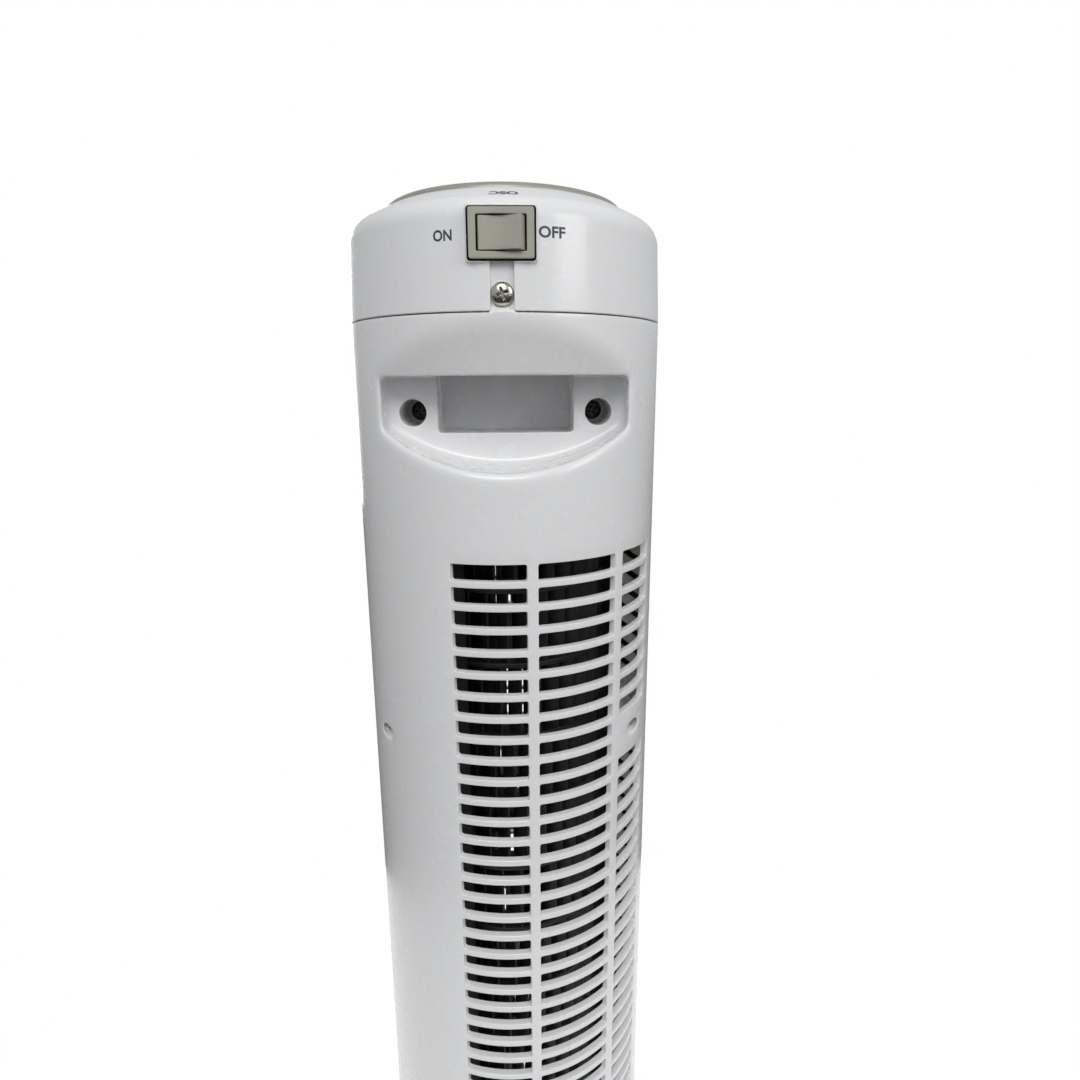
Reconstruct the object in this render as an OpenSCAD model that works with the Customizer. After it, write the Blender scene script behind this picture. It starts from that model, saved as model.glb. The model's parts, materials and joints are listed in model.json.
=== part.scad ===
// Oscillating tower fan: a slim round tower with a rear intake grille and a carry recess,
// standing on a round base. The origin is on the floor under the middle of the base,
// +Z is up, the air leaves towards -Y and the carry recess faces +Y.

/* [Tower] */
// Outer diameter of the round tower
body_d = 120; // [118:1:124]
// Wall thickness of the moulded shells
wall = 2.5; // [2.2:0.1:2.8]
// Height of the seam between the two housings and the top cap
cap_seam_z = 706.6; // [700:0.1:710]
// Radius of the rounded shoulder of the top cap
shoulder_r = 8.5; // [7:0.5:10]
// Fall of the top cap from the control panel out to its shoulder, in degrees
shoulder_fall = 28; // [24:1:30]
// How much narrower the top cap is at its shoulder than at its seam, on the radius
cap_draft = 1.1; // [0.6:0.1:1.4]
// Width of the seam lines between mouldings
seam = 0.4; // [0.3:0.1:0.5]

/* [Intake grille] */
// Number of slot rows
slot_rows = 55; // [30:1:55]
// Height from one slot row to the next
slot_pitch = 8.45; // [8.3:0.01:8.45]
// Height of one slot
slot_h = 6; // [5:0.1:6.5]
// Rows left out beside each grille screw, in the outer column
screw_patch_rows = 2; // [2:1:3]

/* [Carry recess] */
// Half width of the recess mouth
recess_half_w = 43.4; // [40:0.1:43.4]
// Depth of the flat back wall, measured from the tower axis
recess_back_y = 30; // [29:0.5:32]
// Half width of the finger pocket in the back wall
pocket_half_w = 24.9; // [22:0.1:25]

/* [Air path] */
// Outer radius of the cross-flow impeller
impeller_r = 39.5; // [38:0.5:40]
// Number of impeller blades
blade_count = 32; // [24:1:34]
// Number of full impeller segments, below the short top one
segment_count = 15; // [12:1:15]

/* [Base] */
// Diameter of the base
base_d = 250; // [240:1:260]
// Height of the flat top of the base
base_top_z = 40; // [40:1:42]
// Swing of the tower to each side, in degrees
swing = 35; // [30:1:40]

/* [Oscillation gears] */
// Tooth module
gear_module = 1; // [1:1:1]
// Teeth of the full circle of which the sector gear is a part
sector_full_teeth = 72; // [72:1:72]
// Teeth of the motor pinion
pinion_teeth = 18; // [18:1:18]

/* [Hidden] */
$fn = 96;

eps = 0.01;
body_r = body_d / 2;
inner_r = body_r - wall;
screw_clear = 0.05;

// Heights of the tower
foot_z = base_top_z + 1.3;
housing_bottom_z = foot_z + 4.9;
housing_top_z = cap_seam_z - seam / 2;
cap_bottom_z = cap_seam_z + seam / 2;
cap_top_z = cap_seam_z + 39.8;
panel_top_z = cap_top_z + 2.1;
knob_h = 9.7;

// Carry recess
lip_z = cap_seam_z - 19.3;
recess_bottom_z = lip_z - 32;
recess_arc_r = 75;
lip_y = body_r - 8;
scoop_tilt = 27;
scoop_r = 104.5;
scoop_half_w = 52;
scoop_axis_y = lip_y - scoop_r / cos(scoop_tilt);
tub_wall = 2;
pocket_back_y = 8;
pocket_front_y = lip_y - 8;
pocket_bottom_z = lip_z - 20.3;
pocket_top_z = lip_z + 12.5;
handle_screw_x = 34;
handle_screw_z = lip_z - 12.9;
handle_hole_r = 4.9;
handle_seat_y = 8;

// Intake grille: start and end of each column, counted from the middle of the rear
// and positive towards -X
first_slot_top_z = cap_seam_z - 82.4;
columns = [[-19.3, 6.65], [10.4, 41], [45.05, 64.6]];
patch_row = 8;
rows_between_patches = 30;
patch_rows_lower = patch_row + rows_between_patches;
patch_mid_z = first_slot_top_z - (patch_row + screw_patch_rows / 2) * slot_pitch
    + (slot_pitch - slot_h) / 2;
patch_mid_lower_z = patch_mid_z - rows_between_patches * slot_pitch;
side_screw_x = 49;
side_screw_zs = [patch_mid_z, patch_mid_lower_z];
side_boss_r = 3.8;
side_hole_r = 2.75;
side_seat_y = 16;
side_front_y = -18.5;
comb_front_y = -2.4;

// Outlet in the front housing
outlet_half_deg = 46;
outlet_bottom_z = 165;
outlet_top_z = 627;

// Impeller and bearings
impeller_bottom_z = 157.5;
impeller_top_z = 622;
top_segment_h = 13.5;
disc_t = 2;
pin_r = 3;
bracket_z = 628;

// Drive motor
shaft_r = 4;
motor_r = 38;
core_bottom_z = 92;
core_top_z = 118;
motor_plate_z = 146;
motor_bolt_r = 41;
run_gap = 0.05;

// Controls on the top panel
control_x = 20;
control_y = -14;
control_shaft_r = 3;
osc_switch_z = cap_seam_z + 22.8;
rocker_pivot_y = body_r - 1.5;
rocker_face_y = 2.2;
rocker_tilt = 10;

// Base and oscillation drive
base_r = base_d / 2;
plateau_r = 62;
pivot_r = 23.5;
pivot_bore_r = pivot_r + 0.08;
gear_bottom_z = 25.2;
gear_top_z = 29.7;
sector_r = gear_module * sector_full_teeth / 2;
pinion_r = gear_module * pinion_teeth / 2;
osc_motor_y = sector_r + pinion_r;
sector_teeth = 2 * ceil((swing + 25) * sector_full_teeth / 360) + 1;
pressure_angle = 20;
backlash = 0.2;
foot_pad_r = 102;

// A pan-head screw: the underside of its head is at the origin and the shank points to -Z
module screw(length, r, head_r, head_h, point = true) {
    difference() {
        union() {
            translate([0, 0, -length]) cylinder(r = r, h = length + eps, $fn = 32);
            cylinder(r = head_r, h = head_h * 0.55, $fn = 48);
            translate([0, 0, head_h * 0.55 - eps])
                cylinder(r1 = head_r, r2 = head_r * 0.68, h = head_h * 0.45, $fn = 48);
            if (point)
                translate([0, 0, -length - r])
                    cylinder(r1 = 0.3, r2 = r, h = r + eps, $fn = 32);
        }
        for (a = [0, 90])
            rotate([0, 0, a])
                translate([-head_r * 0.5, -head_r * 0.09, head_h * 0.4])
                    cube([head_r, head_r * 0.18, head_h]);
    }
}

// A screw whose shank points to -Y, with the underside of its head at y
module screw_from_rear(x, y, z, length, r, head_r, head_h) {
    translate([x, y, z]) rotate([-90, 0, 0]) screw(length, r, head_r, head_h);
}

// A cylinder along Y from y0 to y1
module rod_y(x, z, y0, y1, r) {
    translate([x, y0, z]) rotate([-90, 0, 0]) cylinder(r = r, h = y1 - y0, $fn = 48);
}

module tube(r_out, r_in, z0, z1) {
    translate([0, 0, z0]) difference() {
        cylinder(r = r_out, h = z1 - z0);
        translate([0, 0, -1]) cylinder(r = r_in, h = z1 - z0 + 2);
    }
}

// Part of a ring between two angles
module ring_sector(r_in, r_out, z0, z1, a0, a1) {
    rotate_extrude(angle = a1 - a0, start = a0, $fn = 180)
        translate([r_in, z0]) square([r_out - r_in, z1 - z0]);
}

// A box given by its low and high corners
module block(low, high) {
    translate(low) cube(high - low);
}

// ---------- Housings ----------

module recess_outline(grow) {
    intersection() {
        translate([-recess_half_w - grow, recess_bottom_z - 10])
            square([2 * (recess_half_w + grow), lip_z + grow - recess_bottom_z + 10]);
        translate([0, recess_bottom_z + recess_arc_r]) circle(r = recess_arc_r + grow, $fn = 180);
    }
}

// The recess outline pushed from y0 to y1
module recess_block(grow, y0, y1) {
    translate([0, y1, 0]) rotate([90, 0, 0]) linear_extrude(y1 - y0) recess_outline(grow);
}

module scoop_cylinder(r) {
    translate([0, scoop_axis_y, lip_z]) rotate([-scoop_tilt, 0, 0])
        cylinder(r = r, h = 160, center = true, $fn = 180);
}

// The stretch above the lip in which the shell is dished
module scoop_zone() {
    block([-scoop_half_w, recess_back_y, lip_z], [scoop_half_w, body_r + 4, cap_seam_z - 1]);
}

module pocket_cavity(grow) {
    block([-pocket_half_w - grow, pocket_back_y - grow, pocket_bottom_z - grow],
        [pocket_half_w + grow, recess_back_y + 1, pocket_top_z + grow]);
    block([-pocket_half_w - grow, recess_back_y, lip_z - 4],
        [pocket_half_w + grow, pocket_front_y + grow, pocket_top_z + grow]);
}

module handle_posts_rear(r, y0, y1) {
    for (x = [-handle_screw_x, handle_screw_x])
        rod_y(x, handle_screw_z, y0, y1, r);
}

module side_posts(r, y0, y1) {
    for (x = [-side_screw_x, side_screw_x], z = side_screw_zs)
        rod_y(x, z, y0, y1, r);
}

module grille_slots() {
    for (c = [0, 1, 2])
        rotate_extrude(angle = columns[c][1] - columns[c][0], start = 90 + columns[c][0], $fn = 180)
            for (k = [0 : slot_rows - 1])
                if (c < 2 || !(is_patch(k, patch_row) || is_patch(k, patch_rows_lower)))
                    translate([inner_r - 2, first_slot_top_z - slot_h - k * slot_pitch])
                        square([wall + 4, slot_h]);
}

function is_patch(k, first) = k >= first && k < first + screw_patch_rows;

// Four bosses for the screws that come up through the tower foot
foot_boss_r = 54.4;
foot_boss_angles_rear = [45, 135];
foot_boss_angles_front = [225, 315];
module foot_bosses(angles, r, z0, z1) {
    for (a = angles)
        rotate([0, 0, a]) translate([foot_boss_r, 0, z0]) cylinder(r = r, h = z1 - z0, $fn = 32);
}

module rear_housing() {
    color("white") difference() {
        union() {
            tube(body_r, inner_r, housing_bottom_z, housing_top_z);
            intersection() {
                translate([0, 0, lip_z]) cylinder(r = body_r, h = 18, $fn = 180);
                scoop_zone();
                difference() {
                    scoop_cylinder(scoop_r);
                    scoop_cylinder(scoop_r - wall);
                }
            }
            intersection() {
                translate([0, 0, recess_bottom_z - 5]) cylinder(r = body_r - 0.5, h = 50, $fn = 180);
                recess_block(tub_wall, recess_back_y - tub_wall, body_r);
            }
            pocket_cavity(tub_wall);
            handle_posts_rear(handle_hole_r + 1.6, handle_seat_y - 2, recess_back_y - 1);
            intersection() {
                side_posts(side_boss_r, seam / 2, 40);
                cylinder(r = inner_r + 1, h = cap_seam_z);
            }
            foot_bosses(foot_boss_angles_rear, 3.4, housing_bottom_z, housing_bottom_z + 18);
            // Tongue that the cap screw passes through
            intersection() {
                block([-3.5, 40, housing_top_z - 6], [3.5, body_r, cap_seam_z + 15.2]);
                tube(body_r - 2, body_r - 4.5, housing_top_z - 6, cap_seam_z + 15.2);
            }
            ring_sector(body_r - 4.5, body_r - 1.5, housing_top_z - 6, housing_top_z - 3, 84, 96);
        }
        block([-body_r - 1, -body_r - 1, 0], [body_r + 1, seam / 2, 800]);
        difference() {
            scoop_zone();
            scoop_cylinder(scoop_r);
        }
        recess_block(0, recess_back_y, body_r + 2);
        pocket_cavity(0);
        handle_posts_rear(handle_hole_r, handle_seat_y, recess_back_y + 1);
        handle_posts_rear(2, 5, handle_seat_y + 1);
        side_posts(side_hole_r, side_seat_y, body_r + 2);
        side_posts(1.6, -1, side_seat_y + 1);
        foot_bosses(foot_boss_angles_rear, 1.5 + screw_clear, housing_bottom_z - 1,
            housing_bottom_z + 14);
        rod_y(0, cap_seam_z + 5.4, body_r - 10, body_r + 1, 2);
        grille_slots();
    }
}

module outlet_opening() {
    ring_sector(inner_r - 3, body_r + 3, outlet_bottom_z, outlet_top_z,
        270 - outlet_half_deg, 270 + outlet_half_deg);
}

module front_housing() {
    color("white") difference() {
        union() {
            tube(body_r, inner_r, housing_bottom_z, housing_top_z);
            intersection() {
                union() {
                    handle_posts_rear(4.6, -body_r, handle_seat_y - 2.3);
                    side_posts(side_boss_r, side_front_y, -seam / 2);
                    for (s = [-1, 1], z = side_screw_zs)
                        block([s > 0 ? side_screw_x : -body_r, side_front_y + 1, z - 1.2],
                            [s > 0 ? body_r : -side_screw_x, comb_front_y - 0.4, z + 1.2]);
                }
                translate([0, 0, 100]) cylinder(r = inner_r + 1, h = 600);
            }
            foot_bosses(foot_boss_angles_front, 3.4, housing_bottom_z, housing_bottom_z + 18);
        }
        difference() {
            block([-body_r - 1, -seam / 2, 0], [body_r + 1, body_r + 1, 800]);
            handle_posts_rear(4.6, -1, handle_seat_y - 2.3);
        }
        handle_posts_rear(1.75 + screw_clear, handle_seat_y - 20, handle_seat_y + 1);
        side_posts(1.5 + screw_clear, -14, 1);
        foot_bosses(foot_boss_angles_front, 1.5 + screw_clear, housing_bottom_z - 1,
            housing_bottom_z + 14);
        outlet_opening();
    }
}

// Outlet grille: a rim, thin level slats and upright ribs
slat_pitch = 9;
slat_t = 1.6;
module front_grille() {
    z0 = outlet_bottom_z + 0.4;
    z1 = outlet_top_z - 0.4;
    a0 = 270 - outlet_half_deg + 0.4;
    a1 = 270 + outlet_half_deg - 0.4;
    rim = 4;
    rim_deg = 4;
    slats = floor((z1 - z0 - 2 * rim) / slat_pitch);
    slat_zs = [for (k = [1 : slats]) z0 + rim + k * (z1 - z0 - 2 * rim) / (slats + 1) - slat_t / 2];
    color("whitesmoke") union() {
        ring_sector(body_r - 4, body_r - 0.4, z0, z0 + rim, a0, a1);
        ring_sector(body_r - 4, body_r - 0.4, z1 - rim, z1, a0, a1);
        ring_sector(body_r - 4, body_r - 0.4, z0, z1, a0, a0 + rim_deg);
        ring_sector(body_r - 4, body_r - 0.4, z0, z1, a1 - rim_deg, a1);
        for (k = [1 : 3])
            ring_sector(body_r - 5, body_r - 0.8, z0 + 1, z1 - 1,
                a0 + k * (a1 - a0) / 4 - 0.8, a0 + k * (a1 - a0) / 4 + 0.8);
        rotate_extrude(angle = a1 - a0 - 2, start = a0 + 1, $fn = 180)
            for (z = slat_zs)
                translate([body_r - 4.6, z]) square([4.2, slat_t]);
    }
}

// ---------- Top cap and controls ----------

panel_r = 45;
panel_gap = 0.2;
panel_edge_r = 2.4;
panel_t = 2.2;
panel_seat_z = cap_top_z - wall;

// Outer section of the cap, shrunk by t: a drafted wall, a round shoulder and a sloping top
module cap_section(t) {
    mouth_r = panel_r + panel_gap;
    corner_r = shoulder_r - t;
    corner_x = body_r - cap_draft - shoulder_r;
    corner_z = cap_top_z - (corner_x - mouth_r) * tan(shoulder_fall)
        - shoulder_r / cos(shoulder_fall);
    slope = [sin(shoulder_fall), cos(shoulder_fall)];
    polygon([[0, cap_bottom_z], [body_r - t, cap_bottom_z], [corner_x + corner_r, corner_z],
        [corner_x, corner_z], [corner_x, corner_z] + corner_r * slope,
        [mouth_r, cap_top_z - t / cos(shoulder_fall)], [mouth_r, cap_top_z - t],
        [0, cap_top_z - t]]);
    translate([corner_x, corner_z]) intersection() {
        circle(r = corner_r);
        polygon([[0, 0], [3 * corner_r, 0], [3 * corner_r, 3 * corner_r], 3 * corner_r * slope]);
    }
}

module top_cap() {
    color("white") difference() {
        union() {
            difference() {
                rotate_extrude($fn = 180) cap_section(0);
                rotate_extrude($fn = 180) cap_section(wall);
                translate([0, 0, cap_bottom_z - 1]) cylinder(r = inner_r, h = 10);
            }
            // Ledge that carries the control panel
            tube(panel_r + 2, panel_r - 4, panel_seat_z - 2, panel_seat_z);
            // Flat pad behind the switch bezel
            block([-11.2, inner_r - 4, osc_switch_z - 8.1], [11.2, body_r, osc_switch_z + 8.1]);
            // Block behind the tongue that takes the cap screw
            block([-8, inner_r - 8, cap_bottom_z], [8, inner_r, cap_seam_z + 17]);
        }
        translate([0, 0, panel_seat_z]) cylinder(r = panel_r + panel_gap, h = 10);
        block([-3.75, body_r - 4.8, cap_bottom_z - 1], [3.75, body_r + 2, cap_seam_z + 15.6]);
        rod_y(0, cap_seam_z + 5.4, inner_r - 12, body_r, 1.75 + screw_clear);
        block([-9.6, inner_r - 12, osc_switch_z - 6.5], [9.6, body_r + 2, osc_switch_z + 6.5]);
    }
}

module control_panel() {
    bottom_z = panel_seat_z + 0.1;
    edge_z = panel_top_z - panel_edge_r;
    color("silver") difference() {
        union() {
            rotate_extrude($fn = 180) difference() {
                union() {
                    translate([0, bottom_z]) square([panel_r, edge_z - bottom_z]);
                    translate([0, bottom_z])
                        square([panel_r - panel_edge_r, panel_top_z - bottom_z]);
                    translate([panel_r - panel_edge_r, edge_z]) intersection() {
                        circle(r = panel_edge_r);
                        square(panel_edge_r + 1);
                    }
                }
                translate([-1, bottom_z - 1])
                    square([panel_r - 3, panel_top_z - panel_t - bottom_z + 1]);
            }
            for (s = [-1, 1], t = [-1, 1])
                translate([s * control_x + t * 14, control_y, panel_top_z - 10])
                    cylinder(r = 2.6, h = 9, $fn = 32);
        }
        for (s = [-1, 1])
            translate([s * control_x, control_y, 0]) cylinder(r = control_shaft_r + 0.4, h = 800);
        for (s = [-1, 1], t = [-1, 1])
            translate([s * control_x + t * 14, control_y, panel_top_z - 11])
                cylinder(r = 1.2 + screw_clear, h = 8, $fn = 32);
    }
}

// A round dial with a raised grip bar across it
module dial(x) {
    translate([x, control_y, panel_top_z + 0.3]) difference() {
        union() {
            cylinder(r = 15, h = 2.2);
            cylinder(r1 = 13.6, r2 = 12.8, h = 6);
            intersection() {
                translate([-13.2, -2.6, 0]) cube([26.4, 5.2, knob_h]);
                cylinder(r = 13.2, h = knob_h);
            }
        }
        translate([0, 0, -1]) cylinder(r = control_shaft_r, h = knob_h - 2.9);
        translate([0, 0, -1]) difference() {
            cylinder(r = 11.4, h = 4.6);
            cylinder(r = 5.5, h = 4.6);
        }
    }
}

module control_shaft(x) {
    translate([x, control_y, panel_top_z - 16]) cylinder(r = control_shaft_r, h = 22);
}

module speed_knob() {
    color("silver") dial(-control_x);
}

module timer_knob() {
    color("silver") dial(control_x);
}

module speed_shaft() {
    color("gray") control_shaft(-control_x);
}

module timer_shaft() {
    color("gray") control_shaft(control_x);
}

// Body of a control under the panel, with a mounting strap and a bore for its shaft
module control_body(x, half_x, half_y, depth) {
    translate([x, control_y, panel_top_z - 10 - 1.2]) difference() {
        union() {
            translate([-17, -4, 0]) cube([34, 8, 1.2]);
            translate([-half_x, -half_y, -depth]) cube([2 * half_x, 2 * half_y, depth]);
            cylinder(r = 5, h = 5);
        }
        translate([0, 0, -4.9]) cylinder(r = control_shaft_r + run_gap, h = 12);
        for (t = [-14, 14])
            translate([t, 0, -9]) cylinder(r = 1.4, h = 12, $fn = 32);
    }
}

module speed_switch() {
    color("saddlebrown") control_body(-control_x, 11, 10, 14);
}

module timer_unit() {
    color("lightgray") control_body(control_x, 11, 13, 20);
}

module control_screws() {
    color("silver")
        for (s = [-1, 1], t = [-1, 1])
            translate([s * control_x + t * 14, control_y, panel_top_z - 11.2])
                rotate([180, 0, 0]) screw(6, 1.2, 2.3, 1.5);
}

bezel_half_w = 10.5;
bezel_half_h = 7.4;
bezel_back_y = body_r + 0.03;
bezel_t = 1.4;
rocker_half_w = 7.8;
rocker_half_h = 5.25;
module osc_switch_body() {
    color("darkkhaki") difference() {
        union() {
            block([-bezel_half_w, bezel_back_y, osc_switch_z - bezel_half_h],
                [bezel_half_w, bezel_back_y + bezel_t, osc_switch_z + bezel_half_h]);
            block([-9.4, body_r - 20, osc_switch_z - 6.3],
                [9.4, bezel_back_y + eps, osc_switch_z + 6.3]);
        }
        block([-rocker_half_w, body_r - 12, osc_switch_z - rocker_half_h],
            [rocker_half_w, body_r + 4, osc_switch_z + rocker_half_h]);
        translate([0, rocker_pivot_y, osc_switch_z - 6])
            cylinder(r = 1.2 + run_gap, h = 12, $fn = 48);
    }
}

// Rocker in its rest position, with its +X end pressed in. Its ends are arcs about the pivot.
module osc_rocker() {
    color("darkkhaki")
        translate([0, rocker_pivot_y, osc_switch_z]) rotate([0, 0, -rocker_tilt]) union() {
            difference() {
                intersection() {
                    translate([0, 0, -5]) cylinder(r = rocker_half_w - 0.3, h = 10);
                    translate([-9, -5, -5]) cube([18, 12, 10]);
                }
                for (s = [-1, 1])
                    rotate([0, 0, s * rocker_tilt]) translate([s > 0 ? 0 : -12, rocker_face_y, -6])
                        cube([12, 9, 12]);
            }
            translate([0, 0, -5.9]) cylinder(r = 1.2, h = 11.8, $fn = 48);
        }
}

module cap_screw() {
    color("silver")
        screw_from_rear(0, body_r - 2, cap_seam_z + 5.4, 12, 1.75, 3.7, 2.2);
}

module handle_screws() {
    color("silver")
        for (x = [-handle_screw_x, handle_screw_x])
            screw_from_rear(x, handle_seat_y, handle_screw_z, 16, 1.75, 3.6, 2.2);
}

module side_screws() {
    color("silver")
        for (x = [-side_screw_x, side_screw_x], z = side_screw_zs)
            screw_from_rear(x, side_seat_y, z, 26, 1.5, 2.6, 1.8);
}

// ---------- Air path ----------

blade_in_r = impeller_r - 8.5;
blade_sink = 0.4;
blade_stagger_deg = 4;
segment_h = (impeller_top_z - top_segment_h - impeller_bottom_z - disc_t / 2) / segment_count;
module blade_outline() {
    for (k = [0 : blade_count - 1])
        rotate([0, 0, k * 360 / blade_count])
            polygon([[blade_in_r, -0.5], [impeller_r - 0.3, 3.2], [impeller_r - 0.3, 4.2],
                [blade_in_r, 0.5]]);
}

// Blades of one segment, sunk a little into the discs at its ends
module blade_ring(z0, z1, k) {
    translate([0, 0, z0 - blade_sink]) rotate([0, 0, k * blade_stagger_deg])
        linear_extrude(z1 - z0 + 2 * blade_sink) blade_outline();
}

module impeller() {
    color("black") difference() {
        union() {
            for (k = [0 : segment_count - 1])
                blade_ring(impeller_bottom_z + disc_t + k * segment_h,
                    impeller_bottom_z + (k + 1) * segment_h, k);
            blade_ring(impeller_top_z - top_segment_h + disc_t / 2, impeller_top_z - disc_t,
                segment_count);
            for (k = [1 : segment_count])
                tube(impeller_r, blade_in_r - 2, impeller_bottom_z + k * segment_h,
                    impeller_bottom_z + k * segment_h + disc_t);
            translate([0, 0, impeller_bottom_z]) cylinder(r = impeller_r, h = disc_t, $fn = 180);
            translate([0, 0, impeller_top_z - disc_t])
                cylinder(r = impeller_r + 1, h = disc_t, $fn = 180);
            translate([0, 0, impeller_top_z - 10]) cylinder(r = 7, h = 10);
        }
        translate([0, 0, impeller_bottom_z - 1]) cylinder(r = 9, h = disc_t + 2);
        translate([0, 0, impeller_top_z - 11]) cylinder(r = pin_r, h = 12);
    }
}

module impeller_hub() {
    color("peru") difference() {
        union() {
            translate([0, 0, impeller_bottom_z - 6]) cylinder(r = 9, h = 11);
            translate([0, 0, impeller_bottom_z - 2]) cylinder(r = 14, h = 2);
        }
        translate([0, 0, impeller_bottom_z - 7]) cylinder(r = shaft_r, h = 13);
        translate([0, 0, impeller_bottom_z - 4]) rotate([0, 90, 0])
            cylinder(r = 1.5 + screw_clear, h = 10, $fn = 32);
    }
}

module hub_set_screw() {
    color("dimgray") translate([0, 0, impeller_bottom_z - 4]) rotate([0, 90, 0]) difference() {
        translate([0, 0, shaft_r + 0.05]) cylinder(r = 1.5, h = 4.8, $fn = 32);
        translate([0, 0, 7.4]) cylinder(r = 0.8, h = 4, $fn = 6);
    }
}

module impeller_top_pin() {
    color("silver") translate([0, 0, impeller_top_z - 10]) cylinder(r = pin_r, h = 22);
}

module top_bearing() {
    color("peru") tube(7, pin_r + run_gap, bracket_z - 2, bracket_z + 5);
}

module bearing_mount() {
    color("dimgray") tube(12, 7, bracket_z - 3, bracket_z + 6);
}

module bearing_bracket() {
    color("ivory") difference() {
        union() {
            tube(inner_r - 0.3, 12, bracket_z, bracket_z + 2.5);
            tube(15, 12, bracket_z - 2, bracket_z + 5);
            for (a = [0 : 60 : 300])
                rotate([0, 0, a]) translate([14, -0.8, bracket_z]) cube([40, 1.6, 6]);
        }
        for (a = [45, 135])
            rotate([0, 0, a]) translate([49, 0, bracket_z - 1]) cylinder(r = 2, h = 8, $fn = 32);
    }
}

// Heights between which the walls of the duct stand
duct_bottom_z = motor_plate_z + 2.8;
duct_top_z = bracket_z - 0.3;

// Scroll wall: hugs the impeller on the +X side, then runs straight to the outlet
guide_r = 42.5;
guide_t = 1.5;
guide_start_deg = 66;
guide_end_y = -36.4;
module air_guide() {
    color("ivory") union() {
        ring_sector(guide_r, guide_r + guide_t, duct_bottom_z, duct_top_z, 0, guide_start_deg);
        ring_sector(guide_r, inner_r - 0.3, duct_bottom_z, duct_top_z,
            guide_start_deg, guide_start_deg + 1.6);
        block([guide_r, guide_end_y, duct_bottom_z], [guide_r + guide_t, 0, duct_top_z]);
    }
}

// Stabiliser: a wall from the side of the housing to the impeller and on to the outlet
liner_r = 56.3;
module air_tongue() {
    color("dimgray") difference() {
        union() {
            translate([0, 0, duct_bottom_z]) linear_extrude(duct_top_z - duct_bottom_z)
                polygon([[-49.9, -27.2], [-41, -16.6], [-39.6, -16.9], [-41.4, -38.2],
                    [-42.9, -38], [-41.2, -19.2], [-49, -28.6]]);
            ring_sector(liner_r, inner_r - 0.3, duct_bottom_z, duct_top_z, 184, 209.5);
        }
        for (z = side_screw_zs)
            block([-body_r, -24, z - 5], [-45, 0, z + 5]);
    }
}

// Finger guard beside the impeller: sloping fins on an upright strip, clipped round the posts
// of the side screws
comb_rear_y = -0.4;
comb_tip_x = -56.4;
comb_root_x = -45.6;
comb_strip_w = 1.6;
comb_patch_h = 16.8;
comb_slope = 0.73;
comb_fin_h = 5.5;
comb_first_z = 610.8;
comb_fins = 53;
module comb_outline() {
    fin_w = comb_root_x - comb_tip_x;
    rise = fin_w * comb_slope;
    for (k = [0 : comb_fins - 1])
        translate([comb_tip_x, comb_first_z - k * slot_pitch])
            polygon([[0, 0], [fin_w, rise], [fin_w, rise + comb_fin_h], [0, comb_fin_h]]);
    translate([comb_root_x - comb_strip_w, duct_bottom_z])
        square([comb_strip_w, duct_top_z - duct_bottom_z]);
    for (z = side_screw_zs)
        translate([comb_tip_x, z - comb_patch_h / 2]) square([fin_w, comb_patch_h]);
}

module guard_comb() {
    color("ivory") difference() {
        translate([0, comb_rear_y, 0]) rotate([90, 0, 0])
            linear_extrude(comb_rear_y - comb_front_y) comb_outline();
        for (z = side_screw_zs)
            rod_y(-side_screw_x, z, -5, 5, side_boss_r + screw_clear);
    }
}

// ---------- Drive motor ----------

bolt_angles = [45, 135, 225, 315];

module at_bolts(r) {
    for (a = bolt_angles)
        rotate([0, 0, a]) translate([r, 0, 0]) children();
}

module motor_plate() {
    color("ivory") difference() {
        union() {
            translate([0, 0, motor_plate_z]) cylinder(r = inner_r - 0.3, h = 2.5);
            at_bolts(motor_bolt_r) translate([0, 0, 132]) cylinder(r = 4, h = 15, $fn = 48);
        }
        translate([0, 0, motor_plate_z - 1]) cylinder(r = 11, h = 5);
        at_bolts(motor_bolt_r) translate([0, 0, 130])
            cylinder(r = 1.6 + screw_clear, h = 14, $fn = 32);
    }
}

module motor_stator() {
    color("slategray") tube(motor_r, 20, core_bottom_z, core_top_z);
}

module motor_windings() {
    color("chocolate") {
        tube(34, 22, core_bottom_z - 9, core_bottom_z);
        tube(34, 22, core_top_z, core_top_z + 9);
    }
}

module motor_rotor() {
    color("silver") tube(19.6, shaft_r, core_bottom_z, core_top_z);
}

module motor_shaft() {
    color("silver") translate([0, 0, 70]) cylinder(r = shaft_r, h = 90);
}

// End cover of the motor: a cup with four ears and a boss for its bush
module motor_cover() {
    difference() {
        union() {
            cylinder(r = motor_r, h = 14);
            translate([0, 0, 13]) cylinder(r = 10, h = 5);
            at_bolts(motor_bolt_r) translate([0, 0, 10]) cylinder(r = 4, h = 4, $fn = 48);
            at_bolts(motor_r - 1) translate([-1, -4, 10]) cube([4, 8, 4]);
        }
        translate([0, 0, -1]) cylinder(r = motor_r - 1.5, h = 13.4);
        translate([0, 0, 11]) cylinder(r = 7, h = 6);
        translate([0, 0, 11]) cylinder(r = 4.6, h = 9);
        at_bolts(motor_bolt_r) translate([0, 0, 9])
            cylinder(r = 1.6 + screw_clear, h = 6, $fn = 32);
    }
}

module motor_upper_cover() {
    color("lightgray") translate([0, 0, core_top_z]) motor_cover();
}

module motor_lower_cover() {
    color("lightgray") translate([0, 0, core_bottom_z]) mirror([0, 0, 1]) motor_cover();
}

module motor_bushes() {
    color("peru") {
        tube(7, shaft_r + run_gap, core_top_z + 12.4, core_top_z + 17);
        tube(7, shaft_r + run_gap, core_bottom_z - 17, core_bottom_z - 12.4);
    }
}

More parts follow.
